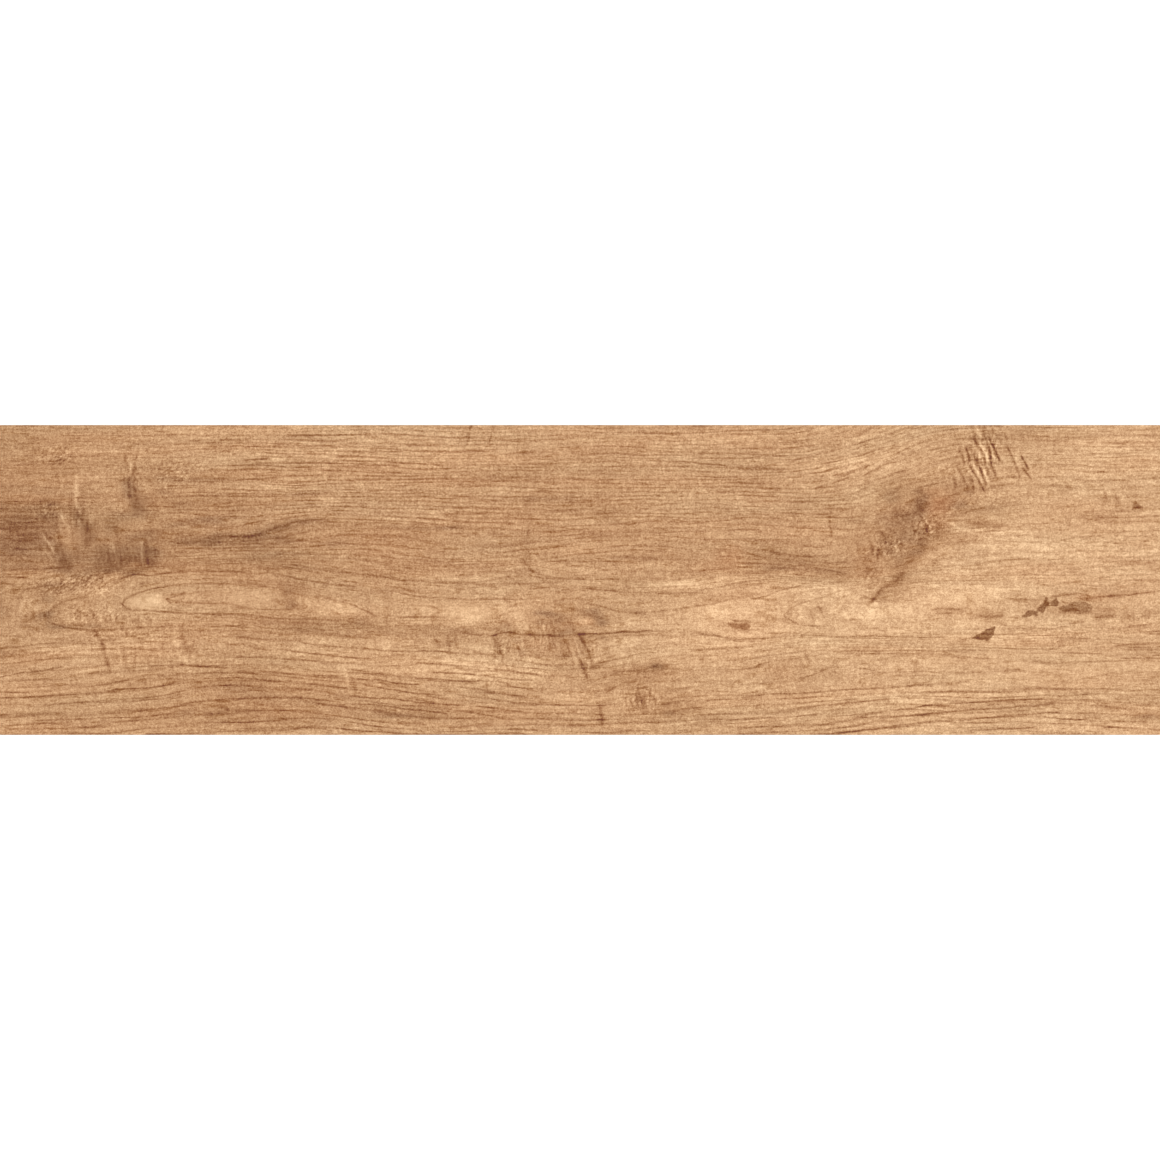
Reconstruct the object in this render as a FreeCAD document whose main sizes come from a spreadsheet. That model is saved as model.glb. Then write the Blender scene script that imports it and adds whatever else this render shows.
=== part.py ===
"""Wood look porcelain plank tile: one pressed and fired slab with ground edges and a ribbed back.

Millimetres, +Z up. The slab lies face up. Its origin is the middle of the plane that the ribs of its
back rest on, +X runs along the plank and +Y across it.
"""

import FreeCAD, Part
import math
import os
import Sketcher

NODE = "plank_tile"

# The sizes that drive the model. Each name is the alias of a cell in the document's sheet.
SIZES = {
    # the slab
    "plank_length": 600.0,
    "plank_width": 160.0,
    "plank_thickness": 9.0,
    # its edges: the fine bevel ground round the face, and the pressed bevel round the back
    "face_bevel": 0.6,
    "back_bevel": 1.2,
    # its back: shallow cells pressed between straight ribs, inside a plain rim
    "back_rim": 9.0,
    "cell_pitch": 36.0,
    "rib_width": 5.0,
    "cell_depth": 0.7,
    "cell_corner": 4.0,
    "cell_draft": 35.0,
}

# The grid of cells fills the back inside its rim. Its pitch is the even one nearest to cell_pitch.
GRID_ALONG = "(Sizes.plank_length - 2 * Sizes.back_rim + Sizes.rib_width)"
GRID_ACROSS = "(Sizes.plank_width - 2 * Sizes.back_rim + Sizes.rib_width)"
CELLS_ALONG = f"round({GRID_ALONG} / Sizes.cell_pitch)"
CELLS_ACROSS = f"round({GRID_ACROSS} / Sizes.cell_pitch)"
PITCH_ALONG = f"{GRID_ALONG} / {CELLS_ALONG}"
PITCH_ACROSS = f"{GRID_ACROSS} / {CELLS_ACROSS}"


def make_sheet(doc):
    """The sheet holds each driving size as a plain number under its alias."""
    sheet = doc.addObject("Spreadsheet::Sheet", "Sizes")
    for row, (alias, value) in enumerate(SIZES.items(), start=1):
        sheet.set(f"A{row}", alias)
        sheet.set(f"B{row}", str(value))
        sheet.setAlias(f"B{row}", alias)
    doc.recompute()


def origin_feature(body, role):
    """The plane or axis of the body's own origin that has this role."""
    return next(f for f in body.Origin.OriginFeatures if f.Role == role)


def sketch_on_back(body, name):
    """An empty sketch in the plane that the back rests on."""
    sketch = body.newObject("Sketcher::SketchObject", name)
    sketch.AttachmentSupport = [(origin_feature(body, "XY_Plane"), "")]
    sketch.MapMode = "FlatFace"
    return sketch


def dimension(sketch, name, expression, kind, *where):
    """Adds a dimension of the sketch and ties it to the sheet."""
    start = sketch.evalExpression(expression)
    index = sketch.addConstraint(Sketcher.Constraint(kind, *where, float(start)))
    sketch.renameConstraint(index, name)
    sketch.setExpression(f"Constraints.{name}", expression)


def draw_plank_outline(body):
    """The plank's rectangle, with its middle on the origin."""
    sketch = sketch_on_back(body, "plank_outline")
    half_x, half_y = SIZES["plank_length"] / 2, SIZES["plank_width"] / 2
    corners = [
        FreeCAD.Vector(x, y, 0)
        for x, y in ((-half_x, -half_y), (half_x, -half_y), (half_x, half_y), (-half_x, half_y))
    ]
    for start, end in zip(corners, corners[1:] + corners[:1]):
        sketch.addGeometry(Part.LineSegment(start, end), False)
    for side in range(4):
        sketch.addConstraint(Sketcher.Constraint("Coincident", side, 2, (side + 1) % 4, 1))
        sketch.addConstraint(Sketcher.Constraint("Vertical" if side % 2 else "Horizontal", side))
    sketch.addConstraint(Sketcher.Constraint("Symmetric", 0, 1, 2, 1, -1, 1))
    dimension(sketch, "along", "Sizes.plank_length", "DistanceX", 0, 1, 0, 2)
    dimension(sketch, "across", "Sizes.plank_width", "DistanceY", 1, 1, 1, 2)
    return sketch


def press_slab(body):
    """The slab at its full thickness."""
    outline = draw_plank_outline(body)
    slab = body.newObject("PartDesign::Pad", "slab")
    slab.Profile = outline
    slab.setExpression("Length", "Sizes.plank_thickness")
    body.Document.recompute()
    return slab


def rim_edges(feature, level):
    """The names of the feature's edges that lie flat at this height."""
    flat = []
    for number, edge in enumerate(feature.Shape.Edges, start=1):
        box = edge.BoundBox
        if abs(box.ZMin - level) < 1e-6 and abs(box.ZMax - level) < 1e-6:
            flat.append(f"Edge{number}")
    return flat


def bevel(body, name, level, size):
    """A bevel along every edge of the slab at this height."""
    base = body.Tip
    cut = body.newObject("PartDesign::Chamfer", name)
    cut.Base = (base, rim_edges(base, level))
    cut.setExpression("Size", size)
    body.Document.recompute()
    return cut


def draw_cell(body):
    """The mouth of the grid's first cell: a square with round corners, inside the rim's corner."""
    sketch = sketch_on_back(body, "cell_mouth")
    near_x = float(sketch.evalExpression("Sizes.back_rim - Sizes.plank_length / 2"))
    near_y = float(sketch.evalExpression("Sizes.back_rim - Sizes.plank_width / 2"))
    far_x = near_x + float(sketch.evalExpression(f"{PITCH_ALONG} - Sizes.rib_width"))
    far_y = near_y + float(sketch.evalExpression(f"{PITCH_ACROSS} - Sizes.rib_width"))
    corner = SIZES["cell_corner"]
    quarter = math.pi / 2
    sides = [
        ((near_x + corner, near_y), (far_x - corner, near_y)),
        ((far_x, near_y + corner), (far_x, far_y - corner)),
        ((far_x - corner, far_y), (near_x + corner, far_y)),
        ((near_x, far_y - corner), (near_x, near_y + corner)),
    ]
    for start, end in sides:
        sketch.addGeometry(Part.LineSegment(FreeCAD.Vector(*start, 0), FreeCAD.Vector(*end, 0)), False)
    centres = [
        (far_x - corner, near_y + corner),
        (far_x - corner, far_y - corner),
        (near_x + corner, far_y - corner),
        (near_x + corner, near_y + corner),
    ]
    for turn, centre in enumerate(centres):
        round_corner = Part.Circle(FreeCAD.Vector(*centre, 0), FreeCAD.Vector(0, 0, 1), corner)
        start = (turn - 1) * quarter
        sketch.addGeometry(Part.ArcOfCircle(round_corner, start, start + quarter), False)
    for side in range(4):
        arc = 4 + side
        sketch.addConstraint(Sketcher.Constraint("Tangent", side, 2, arc, 1))
        sketch.addConstraint(Sketcher.Constraint("Tangent", arc, 2, (side + 1) % 4, 1))
        sketch.addConstraint(Sketcher.Constraint("Vertical" if side % 2 else "Horizontal", side))
        if side:
            sketch.addConstraint(Sketcher.Constraint("Equal", 4, arc))
    dimension(sketch, "corner", "Sizes.cell_corner", "Radius", 4)
    dimension(sketch, "along", f"{PITCH_ALONG} - Sizes.rib_width", "DistanceX", 3, 1, 1, 1)
    dimension(sketch, "across", f"{PITCH_ACROSS} - Sizes.rib_width", "DistanceY", 0, 1, 2, 1)
    dimension(sketch, "from_end", "Sizes.plank_length / 2 - Sizes.back_rim", "DistanceX", 3, 1, -1, 1)
    dimension(sketch, "from_side", "Sizes.plank_width / 2 - Sizes.back_rim", "DistanceY", 0, 1, -1, 1)
    return sketch


def press_cell(body):
    """One drafted cell, sunk into the back. Its floor is smaller than its mouth."""
    mouth = draw_cell(body)
    cell = body.newObject("PartDesign::Pocket", "cell")
    cell.Profile = mouth
    cell.Reversed = True
    cell.setExpression("Length", "Sizes.cell_depth")
    cell.setExpression("TaperAngle", "-Sizes.cell_draft")
    body.Document.recompute()
    return cell


def repeat_cell(body, cell):
    """The grid of cells, along and across the back."""
    grid = body.newObject("PartDesign::LinearPattern", "cell_grid")
    grid.Originals = [cell]
    grid.Direction = (origin_feature(body, "X_Axis"), [""])
    grid.Direction2 = (origin_feature(body, "Y_Axis"), [""])
    grid.Mode = "Extent"
    grid.Mode2 = "Extent"
    grid.setExpression("Length", f"{GRID_ALONG} - {PITCH_ALONG}")
    grid.setExpression("Length2", f"{GRID_ACROSS} - {PITCH_ACROSS}")
    grid.setExpression("Occurrences", CELLS_ALONG)
    grid.setExpression("Occurrences2", CELLS_ACROSS)
    body.Tip = grid
    body.Document.recompute()
    return grid


def check(doc, body):
    """Stops the build if a feature failed or the plank isn't one valid solid."""
    failed = [o.Name for o in doc.Objects if {"Invalid", "Error"} & set(o.State)]
    if failed:
        raise RuntimeError(f"these features failed: {failed}")
    if body.Shape.isNull() or not body.Shape.isValid() or len(body.Shape.Solids) != 1:
        raise RuntimeError("the plank isn't one valid solid")


def removed(before, after, name):
    """Stops the build if a cut took nothing off the slab."""
    taken = before.Shape.Volume - after.Shape.Volume
    if taken <= 0:
        raise RuntimeError(f"{name} cut nothing")
    print(f"{name}: {taken:.1f} mm3 cut")


def main():
    doc = FreeCAD.newDocument("plank")
    make_sheet(doc)
    body = doc.addObject("PartDesign::Body", NODE)
    body.Label = NODE

    slab = press_slab(body)
    back_edge = bevel(body, "back_edge", 0.0, "Sizes.back_bevel")
    face_edge = bevel(body, "face_edge", SIZES["plank_thickness"], "Sizes.face_bevel")
    cell = press_cell(body)
    grid = repeat_cell(body, cell)

    check(doc, body)
    removed(slab, back_edge, "back bevel")
    removed(back_edge, face_edge, "face bevel")
    removed(face_edge, cell, "one cell")
    removed(cell, grid, "the other cells")

    os.makedirs("parts", exist_ok=True)
    body.Shape.exportStep(f"parts/{NODE}.step")
    box = body.Shape.BoundBox
    print(f"{NODE}: {box.XLength:.2f} x {box.YLength:.2f} x {box.ZLength:.2f} mm, {body.Shape.Volume:.0f} mm3")


main()
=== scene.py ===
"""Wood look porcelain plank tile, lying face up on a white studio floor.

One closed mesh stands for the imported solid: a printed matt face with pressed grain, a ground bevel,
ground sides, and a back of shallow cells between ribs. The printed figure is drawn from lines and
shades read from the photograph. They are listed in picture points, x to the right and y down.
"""

import bpy
import numpy as np
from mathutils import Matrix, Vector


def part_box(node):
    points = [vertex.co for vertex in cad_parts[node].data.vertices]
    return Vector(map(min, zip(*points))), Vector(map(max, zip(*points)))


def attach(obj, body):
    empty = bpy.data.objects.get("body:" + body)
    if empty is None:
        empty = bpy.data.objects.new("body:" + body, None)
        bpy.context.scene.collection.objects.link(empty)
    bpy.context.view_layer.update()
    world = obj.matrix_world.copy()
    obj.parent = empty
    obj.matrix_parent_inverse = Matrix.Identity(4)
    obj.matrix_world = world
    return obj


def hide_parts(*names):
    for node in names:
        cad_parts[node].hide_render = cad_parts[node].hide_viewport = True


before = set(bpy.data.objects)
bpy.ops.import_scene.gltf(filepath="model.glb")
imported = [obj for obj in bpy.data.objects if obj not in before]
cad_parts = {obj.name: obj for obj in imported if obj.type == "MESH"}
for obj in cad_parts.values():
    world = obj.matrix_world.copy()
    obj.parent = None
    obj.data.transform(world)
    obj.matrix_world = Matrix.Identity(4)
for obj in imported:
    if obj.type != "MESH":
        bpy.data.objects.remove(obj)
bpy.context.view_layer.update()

NODE = "plank_tile"
LOW, HIGH = (np.array(corner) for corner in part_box(NODE))
LENGTH, WIDTH, THICKNESS = (HIGH - LOW)

# The edges and the back, in metres. They repeat the part's own sizes.
FACE_BEVEL = 0.0006
BACK_BEVEL = 0.0012
BACK_RIM = 0.009
RIB_WIDTH = 0.005
CELLS_ALONG, CELLS_ACROSS = 16, 4
CELL_DEPTH = 0.0007
CELL_CORNER = 0.004
CELL_DRAFT = 0.00049

# The face mesh, and the deepest that its pressed relief goes.
COLUMNS, ROWS = 336, 252
RELIEF_DEPTH = 0.00016

# The photograph: 1160 points a side, with the plank's face from edge to edge along x.
PICTURE = 1160.0
POINT = LENGTH / PICTURE
MIDDLE = PICTURE / 2

# The light that reaches the face, as a share of what makes white paper white.
SKY_LIGHT = 0.50
LAMP_LIGHT = 0.65
FACE_LIGHT = 1.132
FACE_SHEEN = 0.0307

# The print. Its tones run from 0 to 255: the tone of its plain ground, the darkest and the lightest.
# What red, green and blue show at a tone is a start and a slope, and one step of redness or of
# coolness shifts them. DARKEST_INK is the least that any of them reflects.
GROUND_TONE = 161.5
DARKEST_TONE, LIGHTEST_TONE = 78.0, 216.0
INK_START, INK_SLOPE = (36.8, -18.2, -42.2), (1.044, 1.105, 0.998)
RED_SHIFT, COOL_SHIFT = (0.5, -0.17, -0.33), (-0.35, 0.1, 0.45)
DARKEST_INK = 0.008

# The fired body, as a light and a dark tint, the painted shade in its pits, the glaze seen edge on, and the
# kiln wash on the back. The glaze ends and the wash wears off between two heights, in metres.
SIDE_BODY = (0.60, 0.485, 0.345), (0.40, 0.295, 0.19)
BACK_BODY = (0.56, 0.44, 0.305), (0.38, 0.275, 0.175)
SIDE_PIT_SHADE = (0.20, 0.13, 0.08, 1.0)
BACK_PIT_SHADE = (0.22, 0.15, 0.10, 1.0)
GLAZE_EDGE = (0.72, 0.62, 0.48, 1.0)
KILN_WASH = (0.78, 0.74, 0.67, 1.0)
GLAZE_END = (0.00795, 0.00815)
WASH_END = (0.00035, 0.00003)

# Growth lines of the figure, each with its level. Levels rise from the top edge to the heart and fall
# again below it, and the grain runs along lines of equal level.
GROWTH_LINES = [
    (15, [(0, 440), (400, 441), (780, 441), (820, 436), (860, 424)]),
    (35, [(0, 460), (240, 458), (300, 458), (380, 461), (440, 463), (520, 460), (700, 459), (780, 460),
          (830, 456), (870, 444), (910, 430), (925, 424)]),
    (55, [(0, 478), (240, 478), (300, 480), (400, 479), (640, 478), (700, 479), (790, 481), (840, 478),
          (880, 462), (920, 448), (950, 440), (1000, 440), (1060, 442), (1160, 440)]),
    (75, [(0, 500), (60, 500), (240, 497), (300, 497), (400, 497), (500, 499), (600, 500), (800, 500),
          (850, 499), (880, 488), (900, 480), (925, 474), (960, 462), (1000, 460), (1160, 462)]),
    (95, [(0, 518), (55, 517), (160, 520)]),
    (100, [(225, 536), (255, 535), (275, 527), (300, 521), (336, 519), (400, 521), (470, 527),
           (540, 530), (640, 525), (740, 525), (800, 528), (850, 530)]),
    (100, [(985, 505), (1060, 500), (1160, 500)]),
    (125, [(0, 560), (100, 562), (240, 556), (300, 556), (350, 559), (385, 562), (420, 567), (460, 565),
           (520, 562), (600, 560), (660, 560), (720, 563), (800, 567), (850, 575)]),
    (125, [(960, 545), (1060, 545), (1160, 548)]),
    (150, [(48, 613), (51, 608), (57, 604), (66, 600), (84, 596), (100, 588), (120, 579), (137, 574),
           (153, 574), (163, 573), (190, 571), (240, 572), (283, 576), (320, 583), (345, 585), (356, 587),
           (400, 592), (420, 596), (440, 597), (470, 599)]),
    (150, [(50, 620), (56, 624), (66, 627), (80, 628), (102, 629), (143, 627), (189, 626), (240, 626),
           (300, 627), (360, 630), (380, 632), (420, 633), (464, 633), (480, 635), (497, 635), (507, 631),
           (520, 634), (546, 636), (560, 636), (575, 635), (583, 633), (610, 633), (645, 631), (660, 634),
           (699, 633), (719, 636), (737, 639), (760, 638), (800, 636), (840, 637), (940, 637), (1160, 636)]),
    (145, [(0, 617), (20, 617)]),
    (141, [(0, 588), (20, 588), (45, 585)]),
    (162, [(123, 603), (126, 599), (133, 595), (145, 591), (163, 587), (185, 584), (230, 583), (276, 588),
           (318, 596), (340, 601), (352, 604), (362, 609), (372, 614)]),
    (162, [(126, 607), (133, 610), (145, 610), (163, 612), (200, 614), (230, 614), (250, 615), (275, 618),
           (300, 619), (330, 620), (350, 619)]),
    (172, [(167, 599), (172, 597), (183, 594), (230, 590), (276, 593)]),
    (172, [(170, 600), (185, 602), (200, 603), (222, 603), (240, 606), (270, 608), (296, 606)]),
    (160, [(440, 612), (470, 611), (486, 611)]),
    (156, [(490, 619), (505, 612), (520, 610), (546, 607), (574, 609), (597, 619)]),
    (156, [(571, 604), (600, 606), (620, 612), (640, 613), (660, 611), (686, 608), (705, 606), (737, 599),
           (800, 590), (862, 588)]),
    (158, [(784, 614), (790, 608), (800, 602), (820, 597), (840, 592), (862, 588), (900, 585), (950, 584),
           (1010, 582)]),
    (158, [(793, 622), (805, 624), (837, 626), (900, 627), (960, 628), (1040, 630)]),
    (166, [(850, 607), (900, 605), (950, 603), (1000, 604)]),
    (135, [(523, 566), (535, 572), (545, 576), (560, 578), (580, 579), (640, 580), (665, 583)]),
    (148, [(590, 588), (610, 590), (640, 593), (700, 590), (740, 583), (760, 581)]),
    (145, [(1000, 575), (1060, 572), (1160, 570)]),
    (158, [(1058, 597), (1075, 595), (1100, 596), (1120, 595), (1140, 593), (1160, 591)]),
    (140, [(0, 649), (20, 647), (40, 644), (60, 643), (100, 644), (180, 638), (240, 638), (275, 640),
           (300, 642), (340, 646), (375, 650), (400, 651), (450, 652), (470, 654), (500, 659), (520, 663),
           (560, 668), (600, 664)]),
    (128, [(0, 664), (40, 660), (60, 658), (100, 655), (180, 657), (280, 657), (310, 660), (340, 663),
           (400, 665), (470, 667), (530, 672), (560, 677), (620, 672), (640, 668), (660, 665), (680, 663),
           (760, 655), (800, 652), (900, 650), (1000, 652), (1160, 655)]),
    (115, [(0, 680), (60, 675), (100, 672), (140, 668), (180, 664), (240, 665), (300, 674), (335, 678),
           (375, 679), (400, 683), (430, 686), (480, 688), (500, 691), (520, 695), (560, 699), (600, 698),
           (640, 690), (680, 686), (700, 688), (800, 676), (900, 668), (1000, 668), (1160, 672)]),
    (100, [(0, 698), (40, 697), (80, 694), (120, 691), (160, 686), (200, 681), (240, 680), (306, 684),
           (340, 690), (380, 698), (420, 701), (440, 704), (480, 706), (510, 710), (560, 711), (600, 711),
           (640, 708), (700, 703), (720, 701), (780, 700), (840, 697), (880, 694), (940, 690), (1000, 688),
           (1160, 690)]),
    (85, [(0, 717), (40, 715), (100, 713), (150, 709), (200, 703), (240, 700), (300, 703), (360, 709),
          (400, 713), (426, 718), (500, 718), (560, 720), (640, 720), (700, 717), (760, 713), (800, 709),
          (840, 706), (880, 701), (920, 699), (964, 702), (1040, 700), (1160, 704)]),
]

# Printed strokes by place: how dark in tone steps of 255 (below 0 is light), half width in points, line.
STROKES = {
    "left end above the heart": [
        (7, 1.4, [(0, 518), (30, 518), (55, 517)]),
        (5, 0.9, [(20, 502), (60, 503)]),
        (6, 0.9, [(0, 509), (40, 510)]),
        (12, 0.9, [(0, 577), (25, 577)]),
        (11, 1.0, [(20, 589.5), (32, 588.5), (45, 586.5)]),
        (5, 1.0, [(25, 617), (45, 616)]),
        (6, 1.4, [(180, 480), (205, 481), (230, 481)]),
        (3, 1.3, [(185, 497), (240, 495)]),
        (4, 2.2, [(180, 542), (200, 541), (225, 538), (240, 537)]),
        (6, 2.4, [(60, 592), (75, 585), (92, 578), (110, 573)]),
    ],
    "outer loop": [
        (11, 1.4, [(51, 610.5), (57, 605.5), (66, 601.5), (84, 597.5)]),
        (3, 1.0, [(84, 596), (100, 588), (120, 579), (125, 578)]),
        (17, 1.0, [(122, 579), (130, 576), (137, 574), (150, 576), (160, 574), (190, 571), (240, 572)]),
        (5, 0.9, [(240, 572), (283, 576), (320, 583), (345, 585), (356, 587)]),
        (12, 1.0, [(53, 623), (66, 628), (80, 629), (98, 631), (120, 629), (140, 628)]),
        (9, 0.9, [(140, 627), (189, 626), (240, 626)]),
    ],
    "inner loop": [
        (15, 1.0, [(124, 606), (123, 603), (125, 600), (132, 596), (140, 593), (152, 589), (163, 587)]),
        (7, 0.9, [(163, 587), (185, 584), (230, 583), (258, 585), (276, 588)]),
        (17, 1.0, [(123, 604), (126, 607), (131, 610), (137, 611), (150, 610), (165, 612), (180, 613),
                   (200, 614), (230, 614)]),
        (14, 0.9, [(230, 614), (250, 615), (275, 618), (300, 619), (340, 620)]),
        (15, 0.9, [(170, 602), (167, 599), (172, 597), (183, 594)]),
        (3, 0.8, [(183, 594), (205, 591), (230, 590), (262, 591)]),
        (9, 0.9, [(168, 599), (175, 601), (185, 602), (200, 603), (222, 603), (240, 606)]),
        (11, 0.9, [(240, 607.5), (262, 609.5), (290, 609.5)]),
        (4, 2.4, [(282, 586), (285, 593), (288, 599), (296, 605)]),
        (7, 2.0, [(276, 600), (286, 603), (295, 606)]),
        (14, 1.0, [(318, 596), (340, 601), (352, 604), (362, 609), (372, 614)]),
        (9, 1.8, [(92, 612), (95, 617)]),
    ],
    "left end below the heart": [
        (11, 0.9, [(0, 649), (20, 647), (40, 644), (60, 643), (80, 643), (100, 644)]),
        (9, 0.9, [(40, 660), (60, 658), (80, 655), (100, 655)]),
        (20, 0.9, [(0, 677), (20, 673), (40, 671), (60, 667)]),
        (8, 1.0, [(0, 682), (40, 679), (80, 674), (120, 672), (160, 669), (180, 666)]),
        (9, 0.9, [(180, 664), (200, 666), (240, 665)]),
        (13, 0.9, [(20, 687.5), (40, 686.5), (60, 685.5), (80, 684.5)]),
        (9, 0.9, [(120, 681), (140, 679), (180, 679)]),
        (11, 1.1, [(0, 698), (20, 697), (60, 695), (92, 693), (120, 692), (140, 690), (160, 686), (180, 683),
                   (200, 681), (230, 680)]),
        (11, 0.9, [(100, 702), (120, 702), (140, 700), (160, 699), (180, 697)]),
        (10, 0.9, [(120, 710), (150, 709), (200, 704)]),
        (10, 0.9, [(0, 717), (20, 716), (40, 715)]),
        (16, 0.9, [(40, 720), (100, 718), (140, 717), (170, 714)]),
        (8, 0.9, [(0, 728.5), (60, 728.5), (110, 726.5)]),
        (13, 2.0, [(223, 707), (228, 709)]),
        (15, 1.8, [(97, 632), (101, 638), (104, 645), (106, 655), (110, 668)]),
        (6, 2.2, [(183.5, 638), (187.5, 648), (191.5, 657)]),
        (-9, 2.2, [(186, 660), (190, 670)]),
        (-7, 2.0, [(176, 638), (180, 654)]),
        (8, 0.9, [(110, 636), (150, 636), (180, 638)]),
    ],
    "branch scar at the left end": [
        (11, 1.4, [(126, 456), (126, 463), (128, 471)]),
        (14, 1.3, [(137, 458), (135, 463), (136, 469), (133, 476)]),
        (-13, 1.7, [(130, 462), (132, 468), (130, 474)]),
        (10, 1.6, [(129, 478), (129, 487), (131, 496)]),
        (10, 1.5, [(135, 481), (135, 489), (137, 498)]),
        (-13, 2.2, [(78, 478), (77, 488), (77, 500), (78, 507)]),
        (4, 2.2, [(84, 492), (85, 502), (83, 514)]),
        (8, 1.8, [(75, 508), (78, 511), (79, 515), (82, 519)]),
        (3, 2.0, [(78, 518), (86, 520)]),
        (-11, 2.0, [(63, 517), (66, 522), (70, 529)]),
        (-7, 1.4, [(60, 522), (62, 532)]),
        (6, 2.2, [(88, 529), (88, 537), (87, 545)]),
        (5, 3.0, [(90, 530), (91, 543)]),
        (3, 1.8, [(43, 527), (48, 535), (52, 543), (57, 551)]),
        (-16, 1.2, [(45, 536), (49, 543), (52, 547)]),
        (6, 3.2, [(61, 545), (63, 555), (67, 565)]),
        (-9, 1.5, [(143, 542), (143, 550), (142, 558)]),
        (9, 1.6, [(146, 543), (147, 552), (149, 563)]),
        (2, 2.4, [(154, 534), (156, 545), (155, 560)]),
        (4, 1.4, [(151, 519), (152, 532)]),
        (6, 1.8, [(114, 512), (115, 522), (117, 534)]),
        (4, 1.6, [(121, 540), (121, 552), (122, 562)]),
        (4, 1.6, [(108, 546), (109, 556), (112, 568)]),
        (6, 1.6, [(95, 568), (120, 564), (140, 565), (160, 562)]),
        (5, 2.4, [(57, 461), (61, 461)]),
        (3, 1.4, [(48, 459), (54, 464)]),
        (14, 0.9, [(73, 457), (100, 456)]),
    ],
    "upper grain, left": [
        (30, 0.9, [(250, 460), (266, 459)]),
        (9, 1.0, [(236, 466), (262, 464), (285, 462), (310, 462), (335, 463)]),
        (9, 0.9, [(340, 457), (382, 458)]),
        (20, 0.9, [(358, 465), (395, 466)]),
        (21, 0.9, [(388, 462), (405, 463), (420, 464), (438, 465)]),
        (11, 0.9, [(325, 471), (346, 471)]),
        (10, 0.9, [(372, 471), (400, 473)]),
        (9, 0.9, [(380, 478), (420, 479), (470, 479)]),
        (24, 0.9, [(240, 480), (262, 479), (275, 478)]),
        (9, 0.8, [(250, 447), (300, 446), (345, 447), (400, 447)]),
        (18, 0.8, [(355, 452), (400, 452)]),
        (5, 0.8, [(290, 436), (340, 435), (400, 437)]),
        (4, 2.6, [(246, 538), (255, 537), (262, 533), (275, 528), (290, 524), (310, 521), (330, 522)]),
        (9, 0.9, [(330, 522), (380, 523), (400, 524), (440, 525), (460, 529), (480, 529)]),
        (5, 1.1, [(240, 538), (300, 539)]),
        (8, 0.9, [(300, 541), (340, 543), (365, 545)]),
        (12, 0.9, [(420, 518), (440, 519)]),
        (14, 0.9, [(440, 508), (465, 508)]),
        (16, 0.9, [(445, 514), (480, 514)]),
        (9, 0.9, [(400, 497), (430, 496), (470, 497)]),
        (11, 1.0, [(350, 558.5), (370, 561.5), (390, 563.5)]),
        (7, 1.0, [(275, 556), (285, 552), (300, 553)]),
        (12, 0.9, [(345, 572), (360, 574), (380, 576), (400, 580), (420, 581), (440, 583), (475, 583)]),
        (9, 1.6, [(342, 586), (354, 586)]),
        (12, 0.9, [(405, 594), (420, 597), (440, 597), (460, 599), (500, 599), (540, 599)]),
        (7, 0.9, [(385, 565), (420, 569), (470, 572), (510, 571)]),
    ],
    "band between the loops": [
        (18, 0.9, [(402, 617), (442, 617)]),
        (5, 1.6, [(290, 623), (330, 624), (370, 625)]),
        (6, 1.2, [(300, 631), (345, 635), (380, 636), (420, 636), (464, 636)]),
        (12, 0.9, [(240, 637), (260, 639), (280, 641), (300, 641)]),
        (18, 0.9, [(305, 643), (340, 647), (360, 648), (380, 650), (400, 651), (440, 651), (470, 654)]),
        (17, 0.9, [(255, 648), (268, 650)]),
        (13, 0.9, [(280, 649), (300, 652), (320, 654), (345, 657), (358, 658)]),
        (7, 0.9, [(240, 657), (262, 657), (288, 659), (316, 661)]),
        (6, 0.9, [(322, 663), (340, 664)]),
        (11, 0.9, [(240, 672), (262, 672), (290, 674)]),
        (20, 0.9, [(315, 675), (335, 676)]),
        (14, 0.9, [(355, 670), (380, 673)]),
        (25, 0.9, [(362, 679), (380, 680), (400, 683), (415, 684)]),
        (8, 0.9, [(240, 681), (280, 681)]),
        (20, 0.9, [(382, 688), (400, 691), (420, 693), (440, 695)]),
        (15, 0.9, [(250, 690), (264, 690)]),
        (11, 0.9, [(288, 690), (308, 690)]),
        (10, 0.9, [(240, 698), (262, 697), (290, 698)]),
        (21, 0.9, [(300, 697), (325, 700)]),
        (20, 0.9, [(355, 696), (375, 698), (390, 698), (403, 700), (420, 702), (440, 704), (460, 705)]),
        (20, 0.9, [(355, 704), (380, 705), (400, 708), (430, 711), (445, 713)]),
        (4, 1.0, [(385, 713), (400, 715), (426, 718)]),
        (15, 0.9, [(400, 722), (424, 724)]),
        (10, 0.9, [(240, 728), (260, 728), (275, 727), (300, 727), (325, 729)]),
        (10, 0.9, [(360, 730), (380, 732), (400, 733)]),
        (12, 0.9, [(420, 663), (440, 664), (478, 667)]),
        (32, 0.9, [(436, 672), (470, 674)]),
        (12, 0.9, [(420, 679), (440, 681), (460, 681), (476, 683)]),
        (10, 2.0, [(437, 641), (440, 645)]),
        (11, 2.0, [(449, 640), (450, 650)]),
        (-8, 1.8, [(345, 668), (348, 678), (350, 690)]),
        (5, 1.6, [(352, 676), (356, 690)]),
        (-8, 1.4, [(352, 636), (350, 650)]),
    ],
    "crack": [
        (12, 0.9, [(464, 633), (480, 635), (497, 635)]),
        (19, 0.9, [(494, 635), (500, 633), (507, 632), (514, 633), (520, 634), (533, 635)]),
        (18, 1.3, [(530, 634), (545, 635), (560, 636)]),
        (12, 1.1, [(560, 636), (575, 635), (583, 634)]),
        (26, 0.9, [(583, 634), (597, 634), (610, 633), (630, 632), (645, 631)]),
        (8, 0.9, [(645, 631), (662, 631)]),
        (9, 0.9, [(600, 638), (625, 635), (640, 635), (662, 635)]),
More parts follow.
